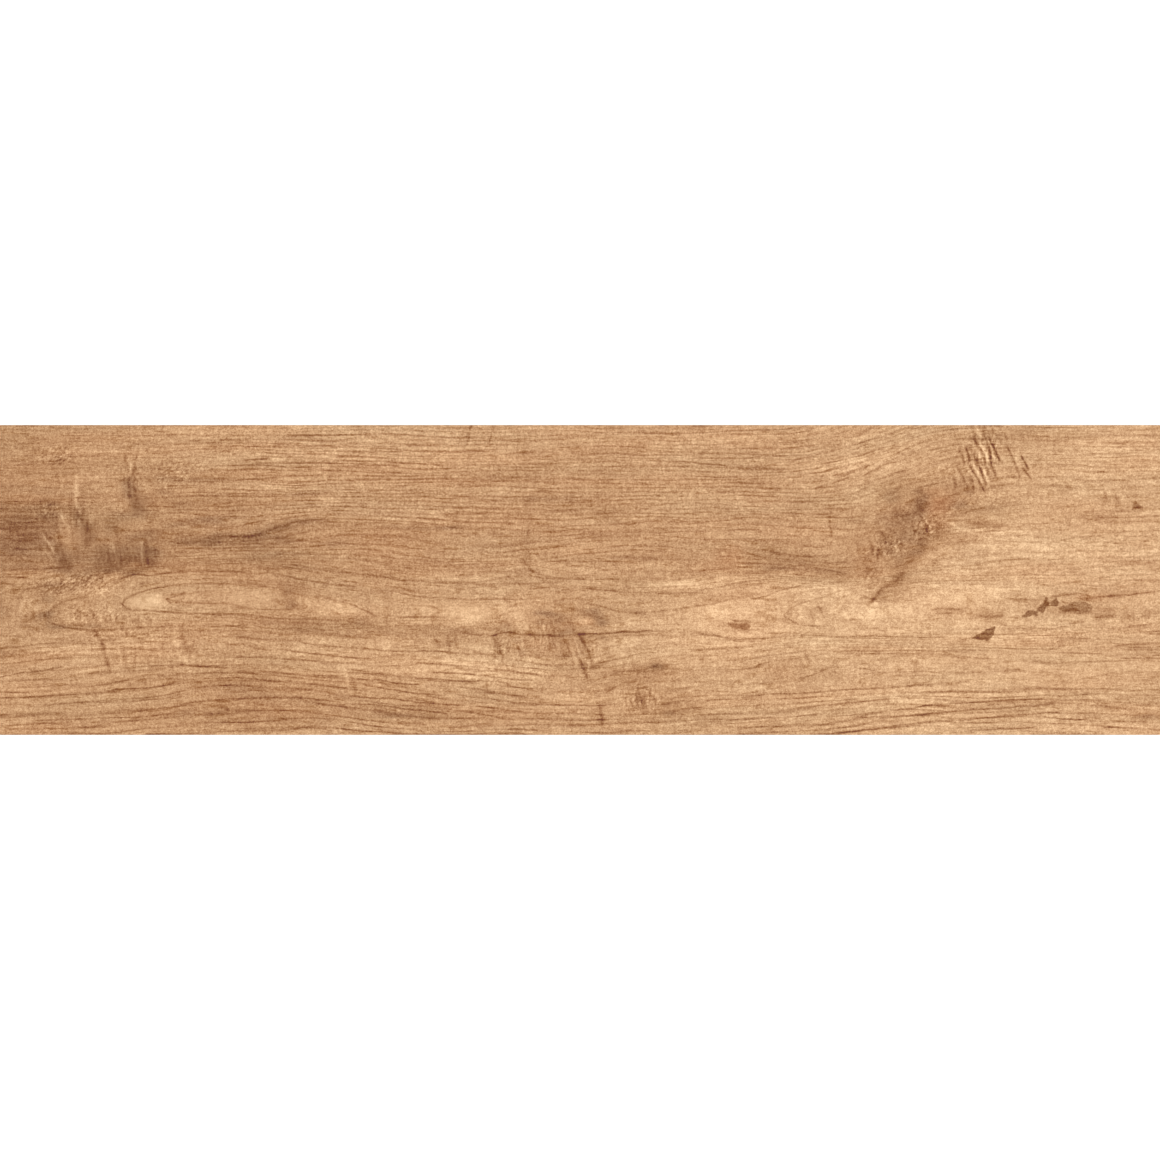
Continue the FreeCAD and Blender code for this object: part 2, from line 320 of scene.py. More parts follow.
        (11, 0.9, [(699, 633), (712, 634), (719, 636), (737, 639)]),
        (16, 0.9, [(700, 634), (715, 636), (735, 640), (760, 638), (775, 637), (800, 635), (820, 636),
                   (840, 637)]),
        (15, 0.9, [(840, 637), (880, 636), (940, 637)]),
    ],
    "knot on the crack": [
        (13, 2.4, [(495, 638), (497, 645), (500, 651)]),
        (11, 1.4, [(502, 654), (503, 661)]),
        (10, 1.3, [(503, 620), (500, 626), (497, 632)]),
        (-10, 1.2, [(499, 624), (502, 629), (508, 631)]),
        (6, 1.2, [(532, 633), (529, 627), (531, 622)]),
        (8, 1.1, [(542.5, 633), (540.5, 627), (542.5, 622)]),
        (5, 1.1, [(548, 634), (546, 627), (548, 622)]),
        (8, 1.1, [(555, 634), (554, 628), (552, 623)]),
        (-5, 1.0, [(537, 633), (536, 627)]),
        (-6, 1.0, [(544.5, 633), (543.5, 627)]),
        (3, 1.2, [(517, 640), (518, 647), (520, 654)]),
        (4, 1.2, [(526, 639), (527, 646), (530, 654)]),
        (7, 1.2, [(536, 639), (538, 645), (542, 652)]),
        (7, 1.4, [(560, 638), (562, 646), (564, 655)]),
        (13, 1.3, [(564, 638), (567, 644), (569, 650)]),
        (5, 1.2, [(572, 638), (575, 645), (577, 651)]),
        (6, 1.6, [(567, 620), (573, 628), (580, 636)]),
        (20, 1.9, [(581, 637), (585, 645), (589, 653), (591, 660)]),
        (-10, 1.2, [(576, 643), (579, 650), (582, 659)]),
        (26, 2.0, [(581, 661), (584, 668), (586, 675)]),
        (11, 2.6, [(592, 667), (596, 666), (600, 663)]),
        (-10, 1.4, [(590, 660), (588, 669)]),
        (4, 1.0, [(532, 656), (550, 661), (566, 658), (576, 650)]),
        (7, 1.1, [(497, 617), (508, 612), (520, 610)]),
        (10, 1.6, [(573, 609), (582, 611), (591, 616), (598, 617)]),
        (12, 1.8, [(504, 599), (507, 601)]),
    ],
    "scar below the crack": [
        (8, 2.4, [(600, 676), (620, 672), (640, 668)]),
        (7, 1.6, [(640, 671), (650, 667), (668, 664)]),
        (9, 0.9, [(640, 672), (660, 670), (680, 668)]),
        (13, 1.6, [(638, 690), (641, 700), (644, 711)]),
        (6, 1.2, [(631, 694), (631, 702), (634, 710)]),
        (8, 1.2, [(636, 693), (637, 699)]),
        (12, 1.2, [(648, 690), (653, 698), (652, 706)]),
        (17, 1.8, [(600, 708), (602, 720)]),
        (9, 1.2, [(656, 700), (654, 714)]),
        (9, 1.1, [(625, 689), (640, 687), (652, 690)]),
        (15, 1.1, [(664, 704), (672, 702), (690, 700)]),
        (13, 0.9, [(674, 711), (690, 708), (700, 707)]),
    ],
    "middle, lower grain": [
        (10, 0.9, [(460, 585), (490, 584), (520, 583), (540, 587)]),
        (18, 1.0, [(460, 687), (480, 689), (500, 693), (522, 696)]),
        (15, 0.9, [(460, 695), (480, 697), (500, 700), (520, 703), (560, 705)]),
        (15, 0.9, [(480, 706), (500, 709), (520, 711)]),
        (14, 0.9, [(500, 685), (520, 688), (545, 689)]),
        (10, 0.9, [(480, 667), (500, 669), (520, 672), (535, 674)]),
        (17, 0.9, [(460, 711), (484, 714), (503, 718)]),
        (11, 0.9, [(540, 712), (600, 714)]),
        (20, 0.9, [(470, 674), (490, 676), (510, 679), (530, 680)]),
        (10, 0.9, [(540, 702.5), (560, 704.5), (590, 704.5)]),
        (9, 0.9, [(520, 717.5), (560, 720.5), (600, 719.5)]),
    ],
    "middle, upper grain": [
        (16, 1.3, [(471.5, 426), (469.5, 432), (468.5, 440)]),
        (11, 1.3, [(494, 426), (490, 440)]),
        (4, 1.0, [(517, 426), (518, 450), (516, 476)]),
        (3, 1.4, [(524, 440), (527, 500), (530, 560)]),
        (5, 0.9, [(540, 459), (600, 460), (660, 460)]),
        (4, 0.9, [(520, 500), (570, 500), (620, 501)]),
        (6, 0.9, [(600, 532), (660, 533)]),
        (12, 0.9, [(550, 561.5), (620, 561.5)]),
        (10, 1.2, [(525, 562), (530, 568), (537, 573), (545, 576), (560, 578), (582, 579)]),
        (9, 1.4, [(506, 575), (517, 582)]),
        (8, 1.0, [(580, 578), (620, 579), (650, 580), (665, 582)]),
        (14, 1.0, [(588, 588), (600, 590), (625, 592), (660, 593), (700, 593)]),
        (12, 1.0, [(590, 604), (606, 608), (620, 612), (640, 613), (660, 611), (686, 608)]),
        (12, 0.9, [(686, 607), (705, 605), (720, 602), (737, 598)]),
        (11, 0.9, [(700, 590), (725, 586), (745, 582), (765, 580)]),
    ],
    "right of the middle": [
        (12, 1.0, [(700, 454), (740, 454), (780, 456)]),
        (10, 0.9, [(700, 458), (760, 459), (800, 460)]),
        (23, 0.9, [(700, 464), (725, 466)]),
        (12, 1.1, [(740, 467.5), (762, 468.5), (785, 469.5)]),
        (9, 0.9, [(700, 472), (715, 473)]),
        (9, 0.9, [(735, 482), (760, 485)]),
        (11, 0.9, [(740, 448), (800, 449)]),
        (12, 0.9, [(800, 459), (815, 456)]),
        (17, 0.9, [(825, 464), (838, 461)]),
        (12, 1.0, [(820, 487), (834, 483), (846, 478)]),
        (6, 1.0, [(850, 468), (870, 459), (882, 455), (895, 450), (910, 441)]),
        (3, 1.0, [(868, 473), (880, 466), (900, 456)]),
        (16, 0.9, [(862, 442.5), (872, 439.5)]),
        (8, 0.9, [(905, 449), (920, 442), (935, 438)]),
        (7, 0.9, [(838, 472.5), (850, 465.5), (862, 461.5)]),
        (12, 1.4, [(829, 519), (830, 526), (831, 532)]),
        (9, 1.2, [(826, 517.5), (834, 517.5)]),
        (12, 0.9, [(757, 598), (770, 594), (780, 590), (790, 588), (800, 586)]),
        (11, 0.9, [(820, 598), (830, 595), (838, 591), (850, 589), (860, 587)]),
        (13, 0.9, [(785, 618), (784, 615), (787, 612), (790, 609), (800, 603), (812, 600)]),
        (10, 0.9, [(786, 617), (793, 622), (800, 625), (815, 626)]),
        (10, 1.0, [(818, 606), (821, 612), (824, 618)]),
        (10, 1.0, [(810, 612), (813, 620)]),
        (9, 1.0, [(805, 655), (808, 660)]),
        (19, 1.3, [(735, 620.5), (745, 621.5)]),
        (4, 0.9, [(700, 548), (740, 550), (770, 552)]),
    ],
    "branch scar on the right": [
        (3, 1.9, [(914, 558), (908, 565), (903, 572), (898, 579)]),
        (7, 1.7, [(899, 577), (894, 583), (886, 588)]),
        (20, 1.7, [(884.5, 586.5), (879.5, 590.5), (875.5, 596.5), (871.5, 600.5)]),
        (5, 3.4, [(908, 563), (900, 575), (888, 585)]),
        (15, 1.2, [(866, 597), (874, 600)]),
        (5, 1.6, [(869.5, 568), (871.5, 580), (867.5, 590)]),
        (4, 1.6, [(866, 562), (866, 575)]),
        (-11, 1.1, [(876, 538), (879, 546), (883, 553)]),
        (13, 1.6, [(883, 536), (886, 546), (891, 555)]),
        (-9, 1.1, [(886.5, 540), (886.5, 548), (890.5, 554)]),
        (6, 1.5, [(900, 537), (902, 546), (907, 552)]),
        (-9, 1.1, [(917, 519), (915, 526), (911, 532)]),
        (-8, 1.1, [(922, 524), (919, 530), (916, 537)]),
        (9, 1.1, [(920, 520), (917, 527), (914, 534)]),
        (9, 1.1, [(927.5, 525), (923.5, 532), (920.5, 539)]),
        (6, 3.8, [(919, 490), (919, 502), (920, 514)]),
        (4, 1.6, [(919, 502), (920, 509), (923, 516)]),
        (4, 3.0, [(921, 537), (920, 545), (924, 549)]),
        (8, 2.6, [(938, 526), (937, 538)]),
        (5, 3.6, [(896, 514), (906, 511), (914, 513)]),
        (3, 1.4, [(925, 538), (918, 548), (912, 557)]),
        (-10, 1.8, [(962, 496), (956, 504), (949, 513)]),
        (-14, 1.8, [(952, 524), (960, 529), (970, 532), (982, 530)]),
        (11, 1.8, [(970, 523), (982, 524), (994, 526)]),
        (7, 1.2, [(940, 503), (948, 497), (956, 493)]),
        (8, 1.2, [(953.5, 480), (955.5, 486), (953.5, 491)]),
        (-9, 1.1, [(872, 541), (876, 546), (874, 556)]),
        (5, 1.1, [(870, 543), (872, 549), (873, 557)]),
        (11, 1.1, [(877, 543), (879, 549), (877, 556)]),
        (-12, 1.0, [(892, 541), (893, 550)]),
        (10, 1.4, [(913, 529), (916, 532)]),
        (-22, 1.1, [(922, 516), (927, 523)]),
        (22, 1.1, [(924, 521), (926, 530)]),
    ],
    "ripples": [
        (5, 1.3, [(970.5, 426), (972.5, 433), (974.5, 439)]),
        (10, 1.3, [(980, 429), (983, 436), (987, 443), (990, 449)]),
        (14, 1.2, [(990, 427), (994, 434), (999, 441)]),
        (18, 1.4, [(974, 441), (979, 447), (982, 454), (984, 460), (985, 466), (988, 475)]),
        (13, 1.4, [(970, 448), (973, 455), (976, 461), (979, 468), (982, 474)]),
        (28, 1.3, [(989, 440), (992, 446), (995, 452), (998, 459)]),
        (26, 1.2, [(989, 452), (990, 460), (991, 466), (994, 474)]),
        (20, 1.3, [(960, 453), (962, 458), (963, 463)]),
        (23, 1.3, [(966, 450), (967, 454), (968, 458)]),
        (20, 1.3, [(971, 469), (975, 476), (979, 483), (982, 489)]),
        (17, 1.3, [(971, 480), (972, 484), (973, 489)]),
        (14, 1.2, [(980, 470), (982, 476), (984, 482)]),
        (14, 1.3, [(957, 468), (962, 478), (966, 486)]),
        (9, 1.5, [(953, 480), (955, 488)]),
        (8, 1.3, [(953, 431), (956, 440)]),
        (8, 1.2, [(1004, 434), (1006, 442), (1008, 450)]),
        (18, 1.2, [(1008, 450), (1012, 459), (1015, 466), (1018, 474)]),
        (30, 1.2, [(1022, 459), (1024, 463), (1026, 467)]),
        (25, 1.3, [(1024, 471), (1028, 476)]),
        (-8, 1.7, [(976.5, 428), (978.5, 434), (979.5, 440)]),
        (-10, 1.4, [(991, 428), (995, 436), (999, 444)]),
        (-14, 1.5, [(975, 448), (979, 455), (981, 462)]),
        (-26, 1.8, [(981, 446), (984, 453), (987, 460)]),
        (-17, 1.6, [(973, 465), (976, 471), (980, 479)]),
        (-20, 1.7, [(981, 466), (984, 473), (986, 479)]),
        (-20, 1.4, [(988.5, 444), (991.5, 451), (993.5, 458)]),
        (-8, 1.4, [(966.5, 466), (971.5, 475)]),
        (-7, 1.5, [(1012, 453), (1016, 461)]),
        (-9, 1.2, [(966, 444), (985, 444), (1004, 444)]),
        (-6, 1.3, [(998, 474), (1010, 474), (1024, 476)]),
    ],
    "right end": [
        (14, 0.9, [(1054, 596), (1064, 595), (1073, 594)]),
        (12, 1.2, [(1083, 599), (1092, 598), (1101, 597), (1112, 596)]),
        (14, 1.1, [(1108, 596), (1120, 595), (1132, 594)]),
        (20, 1.0, [(1130, 595), (1145, 593), (1160, 591)]),
        (9, 1.0, [(1062, 611.5), (1075, 613.5), (1090, 613.5)]),
        (8, 1.4, [(1088, 607), (1100, 608), (1112, 609)]),
        (21, 1.6, [(1098, 617), (1110, 616)]),
        (10, 1.3, [(960, 641), (967, 639), (974, 638)]),
        (9, 0.9, [(1008, 599), (1030, 599)]),
        (11, 0.9, [(1002, 628.5), (1050, 628.5)]),
        (10, 0.9, [(985, 634), (1026, 634)]),
        (13, 0.9, [(1020, 641), (1029, 641)]),
        (14, 0.9, [(1132, 625.5), (1148, 624.5)]),
        (26, 0.9, [(1150, 634), (1160, 634)]),
        (11, 0.9, [(1118, 646), (1128, 644), (1160, 643)]),
        (20, 0.9, [(1125, 658), (1160, 658)]),
        (18, 1.3, [(936, 609), (948, 609), (960, 610)]),
        (15, 1.2, [(938, 613), (950, 613)]),
        (16, 1.3, [(980, 616), (992, 617), (998, 616)]),
        (6, 1.5, [(1001, 612), (1001, 618)]),
        (5, 0.9, [(1005, 618), (1018, 617)]),
        (19, 1.3, [(1105, 495), (1107, 503)]),
        (10, 1.2, [(1115, 496), (1117, 504)]),
        (4, 1.2, [(1126, 496), (1128, 506)]),
        (7, 1.1, [(1070, 518), (1085, 519), (1100, 518)]),
        (9, 0.9, [(1090, 533), (1130, 532), (1150, 533)]),
        (5, 0.9, [(1050, 563), (1100, 561), (1150, 563)]),
        (6, 0.9, [(950, 577), (1000, 574), (1040, 575)]),
        (6, 0.9, [(1060, 583), (1110, 580), (1160, 580)]),
        (17, 1.0, [(920, 706), (940, 704), (960, 703), (980, 702), (995, 701), (1040, 699)]),
        (19, 1.0, [(920, 715), (940, 713), (960, 710), (1000, 708), (1050, 704)]),
        (17, 1.0, [(920, 722), (960, 720), (1000, 716), (1055, 712)]),
        (22, 1.0, [(970, 730.5), (1000, 728.5), (1030, 727.5)]),
        (16, 0.9, [(1060, 719.5), (1085, 719.5)]),
        (11, 0.9, [(1100, 728), (1115, 727)]),
        (5, 0.9, [(1060, 700), (1100, 702), (1140, 701)]),
        (9, 0.9, [(1080, 679), (1110, 673), (1130, 671)]),
        (11, 0.9, [(830, 690), (850, 689), (880, 688), (895, 687)]),
        (13, 0.9, [(830, 705), (850, 702), (884, 700)]),
        (14, 1.0, [(860, 716), (880, 712), (900, 709), (930, 705)]),
        (20, 1.0, [(880, 718), (905, 716), (930, 713)]),
        (18, 1.0, [(840, 732), (870, 729), (900, 725), (930, 722)]),
        (16, 0.9, [(745, 697), (760, 695)]),
        (11, 0.9, [(780, 724), (805, 725), (830, 724)]),
        (12, 0.9, [(700, 722), (740, 719), (770, 717)]),
        (9, 0.9, [(840, 651), (900, 650), (960, 652)]),
        (9, 0.9, [(860, 673.5), (920, 671.5), (960, 672.5)]),
    ],
}

# Small filled marks by place: how dark in tone steps of 255, how red, outline.
PATCHES = {
    "chip": (66, -3, [(970.5, 638.6), (979, 640), (989, 640.4), (992.5, 634.5), (994.5, 626.5),
                      (984.5, 629.8), (977, 634.6)]),
    "torn knot, left": (54, -3, [(1020.5, 616.5), (1024, 613.2), (1027, 612), (1028.5, 609.5),
                                 (1033, 609.8), (1036.5, 611.5), (1037.5, 615.8), (1035.5, 617),
                                 (1033.5, 613.8), (1031, 614.6), (1029, 617), (1025, 617.4)]),
    "torn knot, middle": (56, -3, [(1037.4, 610), (1038.2, 605.2), (1041, 604), (1043, 601),
                                   (1044.6, 597.2), (1046.8, 598), (1048.2, 603), (1047.2, 608),
                                   (1044.5, 607.5), (1043.6, 612), (1040, 613.5)]),
    "torn knot, right": (60, -3, [(1048.6, 605.8), (1051, 603.5), (1053, 597), (1055.6, 597.4),
                                  (1058.2, 603.4), (1056.5, 606.8), (1053, 605.6)]),
    "torn knot, wedge": (34, -4, [(1057, 609.5), (1062, 605.6), (1070, 602.8), (1078, 601), (1086, 602.5),
                                  (1092, 606.5), (1090, 611.6), (1078, 613), (1066, 611.8)]),
    "small knot": (46, 2, [(728, 622), (734, 624), (741, 622.5), (748, 624), (752, 626.5), (746, 629),
                           (738, 628.5), (729, 627)]),
    "far knot": (42, 0, [(1131, 509.5), (1132, 504), (1133.5, 497.5), (1136.5, 504), (1144, 509)]),
}

# Rows of short ridges: x, y, half length, half width, lean of the ridges, their pitch, strength.
RIDGES = [
    (131, 478, 12, 24, 0.10, 4.6, 8),
    (78, 515, 16, 24, 0.30, 6.0, 9),
    (128, 555, 36, 14, 0.10, 5.0, 8),
    (55, 545, 14, 16, 0.5, 6.0, 10),
    (543, 628, 16, 5, -0.1, 4.6, 8),
    (530, 644, 34, 9, 0.15, 3.8, 7),
    (584, 655, 14, 18, 0.35, 6.0, 9),
    (885, 546, 26, 14, 0.4, 5.0, 7),
    (924, 528, 18, 14, -0.7, 4.2, 8),
    (640, 700, 18, 12, 0.1, 5.5, 10),
    (979.2, 456, 28, 44, 0.46, 7.0, 10),
    (1012, 458, 14, 16, 0.5, 8.0, 3),
    (1115, 500, 16, 6, 0.1, 5.0, 9),
    (80, 584, 34, 10, -1.2, 4.2, 5),
    (120, 619, 66, 7, -0.3, 5.0, 7),
    (150, 655, 60, 16, 0.3, 11.0, 5),
    (505, 655, 16, 14, 0.3, 6.0, 7),
]

# Soft shades: x, y, half length, half width, tone steps of 255 (below 0 is dark), and how red.
SHADES = {
    "whole face": [
        (40, 520, 150, 70, -12), (130, 715, 180, 40, -8), (230, 500, 140, 60, -5), (660, 690, 130, 60, 5),
        (235, 540, 120, 45, -4), (695, 540, 120, 40, -4), (232, 690, 60, 30, -4), (985, 615, 50, 24, 3),
        (1080, 580, 260, 220, 11), (1080, 450, 160, 60, 6), (760, 620, 160, 60, 8), (900, 690, 120, 50, 10),
        (450, 540, 400, 45, -4), (640, 618, 60, 30, -5), (290, 700, 80, 30, -5, 3), (350, 450, 120, 30, 4),
        (1020, 440, 60, 20, -5), (50, 610, 60, 26, -4), (520, 618, 50, 22, -4), (870, 535, 50, 26, -4),
        (1000, 612, 60, 22, 3), (315, 625, 28, 8, -12), (815, 568, 20, 9, -5), (545, 650, 22, 9, -8),
        (465, 612, 24, 7, -7), (978, 462, 18, 18, -4), (555, 635, 30, 4, -5),
    ],
    "left end, upper grain": [
        (0, 470, 60, 60, -9), (60, 460, 12, 6, -12), (25, 459, 30, 4, 9), (75, 440, 14, 6, -10),
        (90, 447, 20, 6, 6), (112, 476, 22, 6, 16), (165, 493, 14, 5, -20), (160, 479, 12, 5, -12),
        (175, 480, 20, 4, -12), (180, 505, 14, 6, -12), (210, 480, 24, 4, -14), (190, 452, 14, 5, 14),
        (215, 460, 14, 5, 12), (228, 447, 14, 5, -10), (265, 448, 26, 5, 12), (288, 456, 10, 5, 14),
        (330, 452, 20, 6, 10), (310, 460, 16, 3, -6), (275, 484, 20, 6, 10), (175, 435, 20, 4, 8),
        (350, 437, 40, 5, 6), (298, 495, 22, 6, -17), (332, 503, 34, 4, 14), (330, 519, 12, 5, 8),
        (350, 508, 40, 8, 3), (370, 497, 14, 6, -8), (232, 484, 18, 6, 6), (275, 430, 14, 5, -10),
        (350, 451, 20, 7, 8), (355, 431, 26, 5, 8), (276, 488, 8, 9, 7), (300, 483, 18, 4, 6),
        (150, 498, 8, 8, 9), (88, 478, 12, 12, 6), (50, 490, 40, 5, -5), (320, 494, 14, 4, -8),
        (322, 503, 24, 4, 8),
    ],
    "branch scar at the left end": [
        (20, 529, 42, 17, -34, 1), (25, 546, 40, 12, -22, 1), (30, 562, 36, 7, -13), (48, 512, 14, 10, -16),
        (60, 550, 9, 10, -12), (65, 562, 9, 9, -22), (60, 569, 16, 4, -24), (106, 572, 30, 7, -24),
        (79, 515, 7, 8, -20), (84, 525, 9, 9, -10), (91, 534, 10, 11, -15), (72, 541, 9, 9, 12),
        (78, 551, 9, 14, -12, 2), (66, 529, 6, 14, 8), (55, 518, 16, 4, 8), (60, 526, 20, 3, -8),
        (84, 501, 10, 7, -7), (112, 527, 9, 8, -18), (122, 556, 44, 13, -25), (92, 557, 12, 7, -12),
        (105, 563, 14, 8, -14), (134, 559, 18, 10, -26), (150, 551, 10, 13, -12), (150, 534, 12, 5, -14),
        (131, 485, 9, 11, -38), (140, 506, 12, 11, -34), (128, 506, 7, 6, 12), (146, 512, 10, 6, -10),
        (125, 517, 9, 4, -10), (178, 526, 16, 4, -14), (209, 521, 18, 4, -26), (240, 518, 14, 4, -12),
        (235, 508, 16, 5, -10), (222, 538, 28, 6, -24), (262, 538, 18, 7, -26), (246, 534, 16, 5, 14),
        (235, 548, 16, 5, 8), (282, 528, 20, 5, -22), (302, 521, 20, 4, -20), (325, 520, 14, 4, -8),
        (289, 542, 12, 4, -10), (335, 544, 16, 4, -14), (190, 543, 20, 5, -16), (250, 543, 80, 8, -8),
        (265, 556, 24, 9, -10), (135, 537, 14, 8, -14), (108, 575, 14, 5, -12), (128, 506, 8, 6, 10),
        (185, 548, 26, 8, 7), (280, 546, 16, 8, 7), (20, 568, 40, 10, -6), (120, 517, 14, 5, -6),
    ],
    "left loops": [
        (0, 590, 8, 36, -12), (10, 612, 20, 6, -12), (52, 584, 12, 4, -12), (118, 578, 10, 4, 14),
        (174, 588, 24, 4, 8), (205, 599, 50, 3, 7), (135, 621, 26, 3, -13), (285, 611, 22, 4, -8),
        (270, 622, 14, 4, -12), (75, 586, 30, 8, -10), (50, 596, 12, 10, -16), (48, 601, 10, 4, -10),
        (47, 616, 11, 7, -34), (80, 627, 50, 3, -12), (56, 628, 16, 5, -26), (5, 606, 14, 10, -6),
        (95, 626, 12, 5, -16), (148, 602, 22, 7, 30), (148, 610, 12, 5, 10), (134, 592, 14, 5, 10),
        (105, 595, 14, 14, 10), (110, 603, 14, 4, -8), (30, 608, 16, 6, 20), (170, 620, 18, 4, 12),
        (200, 576, 60, 5, 9), (240, 595, 22, 8, 8), (265, 595, 14, 8, 10), (248, 590, 12, 6, -10),
        (280, 560, 60, 14, -10), (330, 570, 50, 6, -8), (287, 592, 9, 11, -22), (293, 604, 7, 5, -16),
        (305, 590, 12, 7, -10), (297, 604, 8, 6, -10), (345, 607, 16, 6, 26), (320, 600, 30, 12, 6),
        (188, 633, 10, 5, -14), (238, 635, 12, 4, -18), (42, 618, 10, 4, -8), (30, 607, 12, 8, 10),
        (358, 625, 14, 8, -8), (360, 612, 16, 5, 10), (350, 589, 14, 4, 8), (195, 614, 30, 4, 7),
        (265, 640, 10, 5, 8),
    ],
    "left end, lower grain": [
        (150, 643, 16, 6, 14), (178, 642, 11, 7, 24), (215, 644, 30, 5, 12), (100, 660, 60, 12, 6),
        (96, 652, 12, 8, 6), (125, 648, 22, 4, 13), (178, 664, 16, 4, 10), (110, 664, 8, 6, -12),
        (262, 656, 20, 9, -9), (95, 670, 14, 5, 10), (136, 656, 14, 8, -8), (65, 650, 40, 8, 6),
        (225, 642, 14, 5, 10), (0, 653, 22, 5, -20), (185, 645, 6, 16, -14), (105, 650, 5, 18, -8),
        (50, 688, 44, 9, 5), (62, 668, 10, 5, -12), (186, 714, 12, 6, -14), (135, 697, 26, 6, -8),
        (205, 701, 26, 5, 12), (328, 722, 12, 6, -10), (345, 691, 10, 5, -14), (304, 631, 22, 4, -16),
        (332, 628, 30, 4, 14), (360, 625, 16, 6, -12), (350, 640, 7, 8, -14), (350, 632, 30, 5, -4),
        (270, 625, 30, 6, -8), (310, 643, 26, 6, 12), (350, 650, 60, 10, 8), (300, 653, 34, 5, 8),
        (360, 664, 14, 5, 12), (345, 672, 10, 10, 8), (260, 695, 60, 20, -8), (220, 712, 12, 8, -6),
        (240, 688, 20, 8, -8), (280, 720, 50, 6, -8), (335, 716, 30, 6, -8), (8, 727, 14, 4, 20),
        (60, 725, 40, 4, 8), (295, 697, 12, 4, 14), (370, 703, 18, 5, 12), (390, 717, 26, 4, -14),
        (107, 690, 8, 10, 8), (175, 681, 14, 4, 7), (12, 725, 12, 5, 9), (375, 673, 14, 4, 6),
    ],
    "middle, upper grain": [
        (400, 440, 40, 14, 6), (390, 512, 17, 6, 12), (385, 533, 18, 4, 10), (570, 523, 34, 8, 10),
        (590, 552, 34, 5, 10), (650, 557, 30, 5, -14), (495, 474, 26, 4, 12), (435, 488, 20, 4, -12),
        (537, 495, 16, 4, -14), (668, 490, 12, 10, 6), (410, 452, 26, 7, 8), (450, 452, 20, 10, 10),
        (500, 450, 20, 8, 8), (430, 474, 22, 5, 16), (455, 467, 16, 4, -10), (495, 481, 26, 5, -20),
        (450, 476, 60, 5, -6), (430, 487, 40, 4, 8), (525, 490, 40, 4, 16), (400, 495, 30, 4, -8),
        (412, 503, 12, 6, -10), (460, 496, 16, 4, -10), (530, 498, 25, 5, -8), (560, 500, 40, 6, -10),
        (610, 510, 40, 10, -6), (632, 513, 24, 4, 10), (610, 522, 14, 5, -16), (640, 523, 10, 4, 8),
        (440, 510, 30, 6, 8), (428, 518, 16, 6, 10), (400, 527, 24, 3, -12), (400, 540, 50, 14, -12, 3),
        (450, 528, 40, 4, -18), (450, 530, 10, 4, -14), (515, 531, 24, 4, -14), (545, 529, 20, 4, -8),
        (565, 443, 10, 6, -14), (540, 480, 12, 5, -10), (585, 484, 26, 4, -10), (612, 478, 12, 6, -12),
        (605, 493, 16, 5, -8), (660, 495, 14, 12, -8), (640, 485, 30, 10, -5), (640, 450, 20, 4, -6),
        (680, 445, 25, 5, 8), (682, 452, 16, 4, -10), (667, 461, 34, 4, 14), (518, 470, 10, 9, 8),
        (530, 465, 10, 8, -8), (530, 478, 10, 5, -8), (740, 440, 20, 5, 10), (712, 445, 12, 5, 8),
        (760, 467, 15, 4, -10), (768, 462, 22, 3, 9), (745, 483, 20, 3, -8), (680, 500, 50, 30, 6),
        (740, 507, 30, 5, 6), (712, 514, 14, 3, -8), (715, 529, 20, 6, -9), (430, 510, 20, 10, 7),
        (565, 512, 14, 5, -6), (590, 435, 14, 6, -7), (690, 513, 20, 12, 6),
    ],
    "middle, above the crack": [
        (425, 560, 40, 6, -6), (410, 566, 30, 4, -10), (388, 590, 18, 5, -16), (385, 577, 24, 4, -10),
        (482, 581, 12, 4, 14), (470, 562, 20, 6, 6), (527, 548, 6, 22, -12), (550, 587, 14, 10, -8),
        (515, 568, 8, 12, 8), (560, 558, 30, 8, -6), (610, 588, 25, 4, -12), (587, 583, 22, 5, 12),
        (714, 597, 14, 4, -22), (620, 559, 20, 4, -16), (650, 549, 50, 4, 6), (680, 567, 12, 5, -10),
        (700, 576, 14, 4, -18), (712, 569, 22, 8, -14, 3), (732, 558, 16, 10, -6, 6), (725, 545, 12, 7, 8),
        (768, 558, 22, 12, -8), (768, 569, 28, 5, -18), (690, 586, 18, 4, 14), (725, 586, 10, 5, 14),
        (663, 583, 16, 4, 22), (565, 589, 24, 4, -14), (750, 598, 12, 4, -14), (748, 577, 24, 5, 9),
        (693, 583, 22, 4, 14), (570, 601, 20, 4, -10), (640, 582, 30, 6, -7), (430, 572, 26, 5, -6),
        (520, 573, 8, 10, 6),
    ],
    "knot on the crack": [
        (468, 613, 30, 8, 24), (502, 613, 8, 9, 14), (567, 632, 10, 6, -16), (452, 642, 8, 8, -12),
        (518, 639, 8, 4, -10), (620, 641, 12, 5, 16), (670, 626, 36, 5, 10), (595, 655, 7, 12, 14),
        (567, 656, 14, 5, -14), (560, 674, 20, 5, -12), (607, 684, 22, 4, -14), (655, 672, 34, 8, -11),
        (455, 664, 44, 9, 9), (704, 608, 14, 7, -15), (735, 626, 18, 4, 10), (768, 618, 26, 6, 10),
        (450, 618, 26, 5, 10), (417, 614, 12, 6, 14), (519, 613, 12, 10, 16), (560, 600, 18, 5, -8),
        (544, 615, 17, 7, -46), (562, 624, 16, 6, -22, 4), (505, 624, 10, 5, -14), (505, 629, 14, 5, -18),
        (492, 630, 10, 5, 10), (527, 622, 10, 4, 10), (552, 635, 30, 6, -14), (578, 636, 12, 4, 12),
        (582, 633, 18, 7, -8), (586, 621, 9, 4, 18, 6), (598, 621, 10, 7, -44), (586, 612, 13, 4, -26),
        (605, 641, 12, 5, -26), (612, 604, 20, 6, -8), (618, 616, 20, 8, -12), (645, 612, 16, 4, -18),
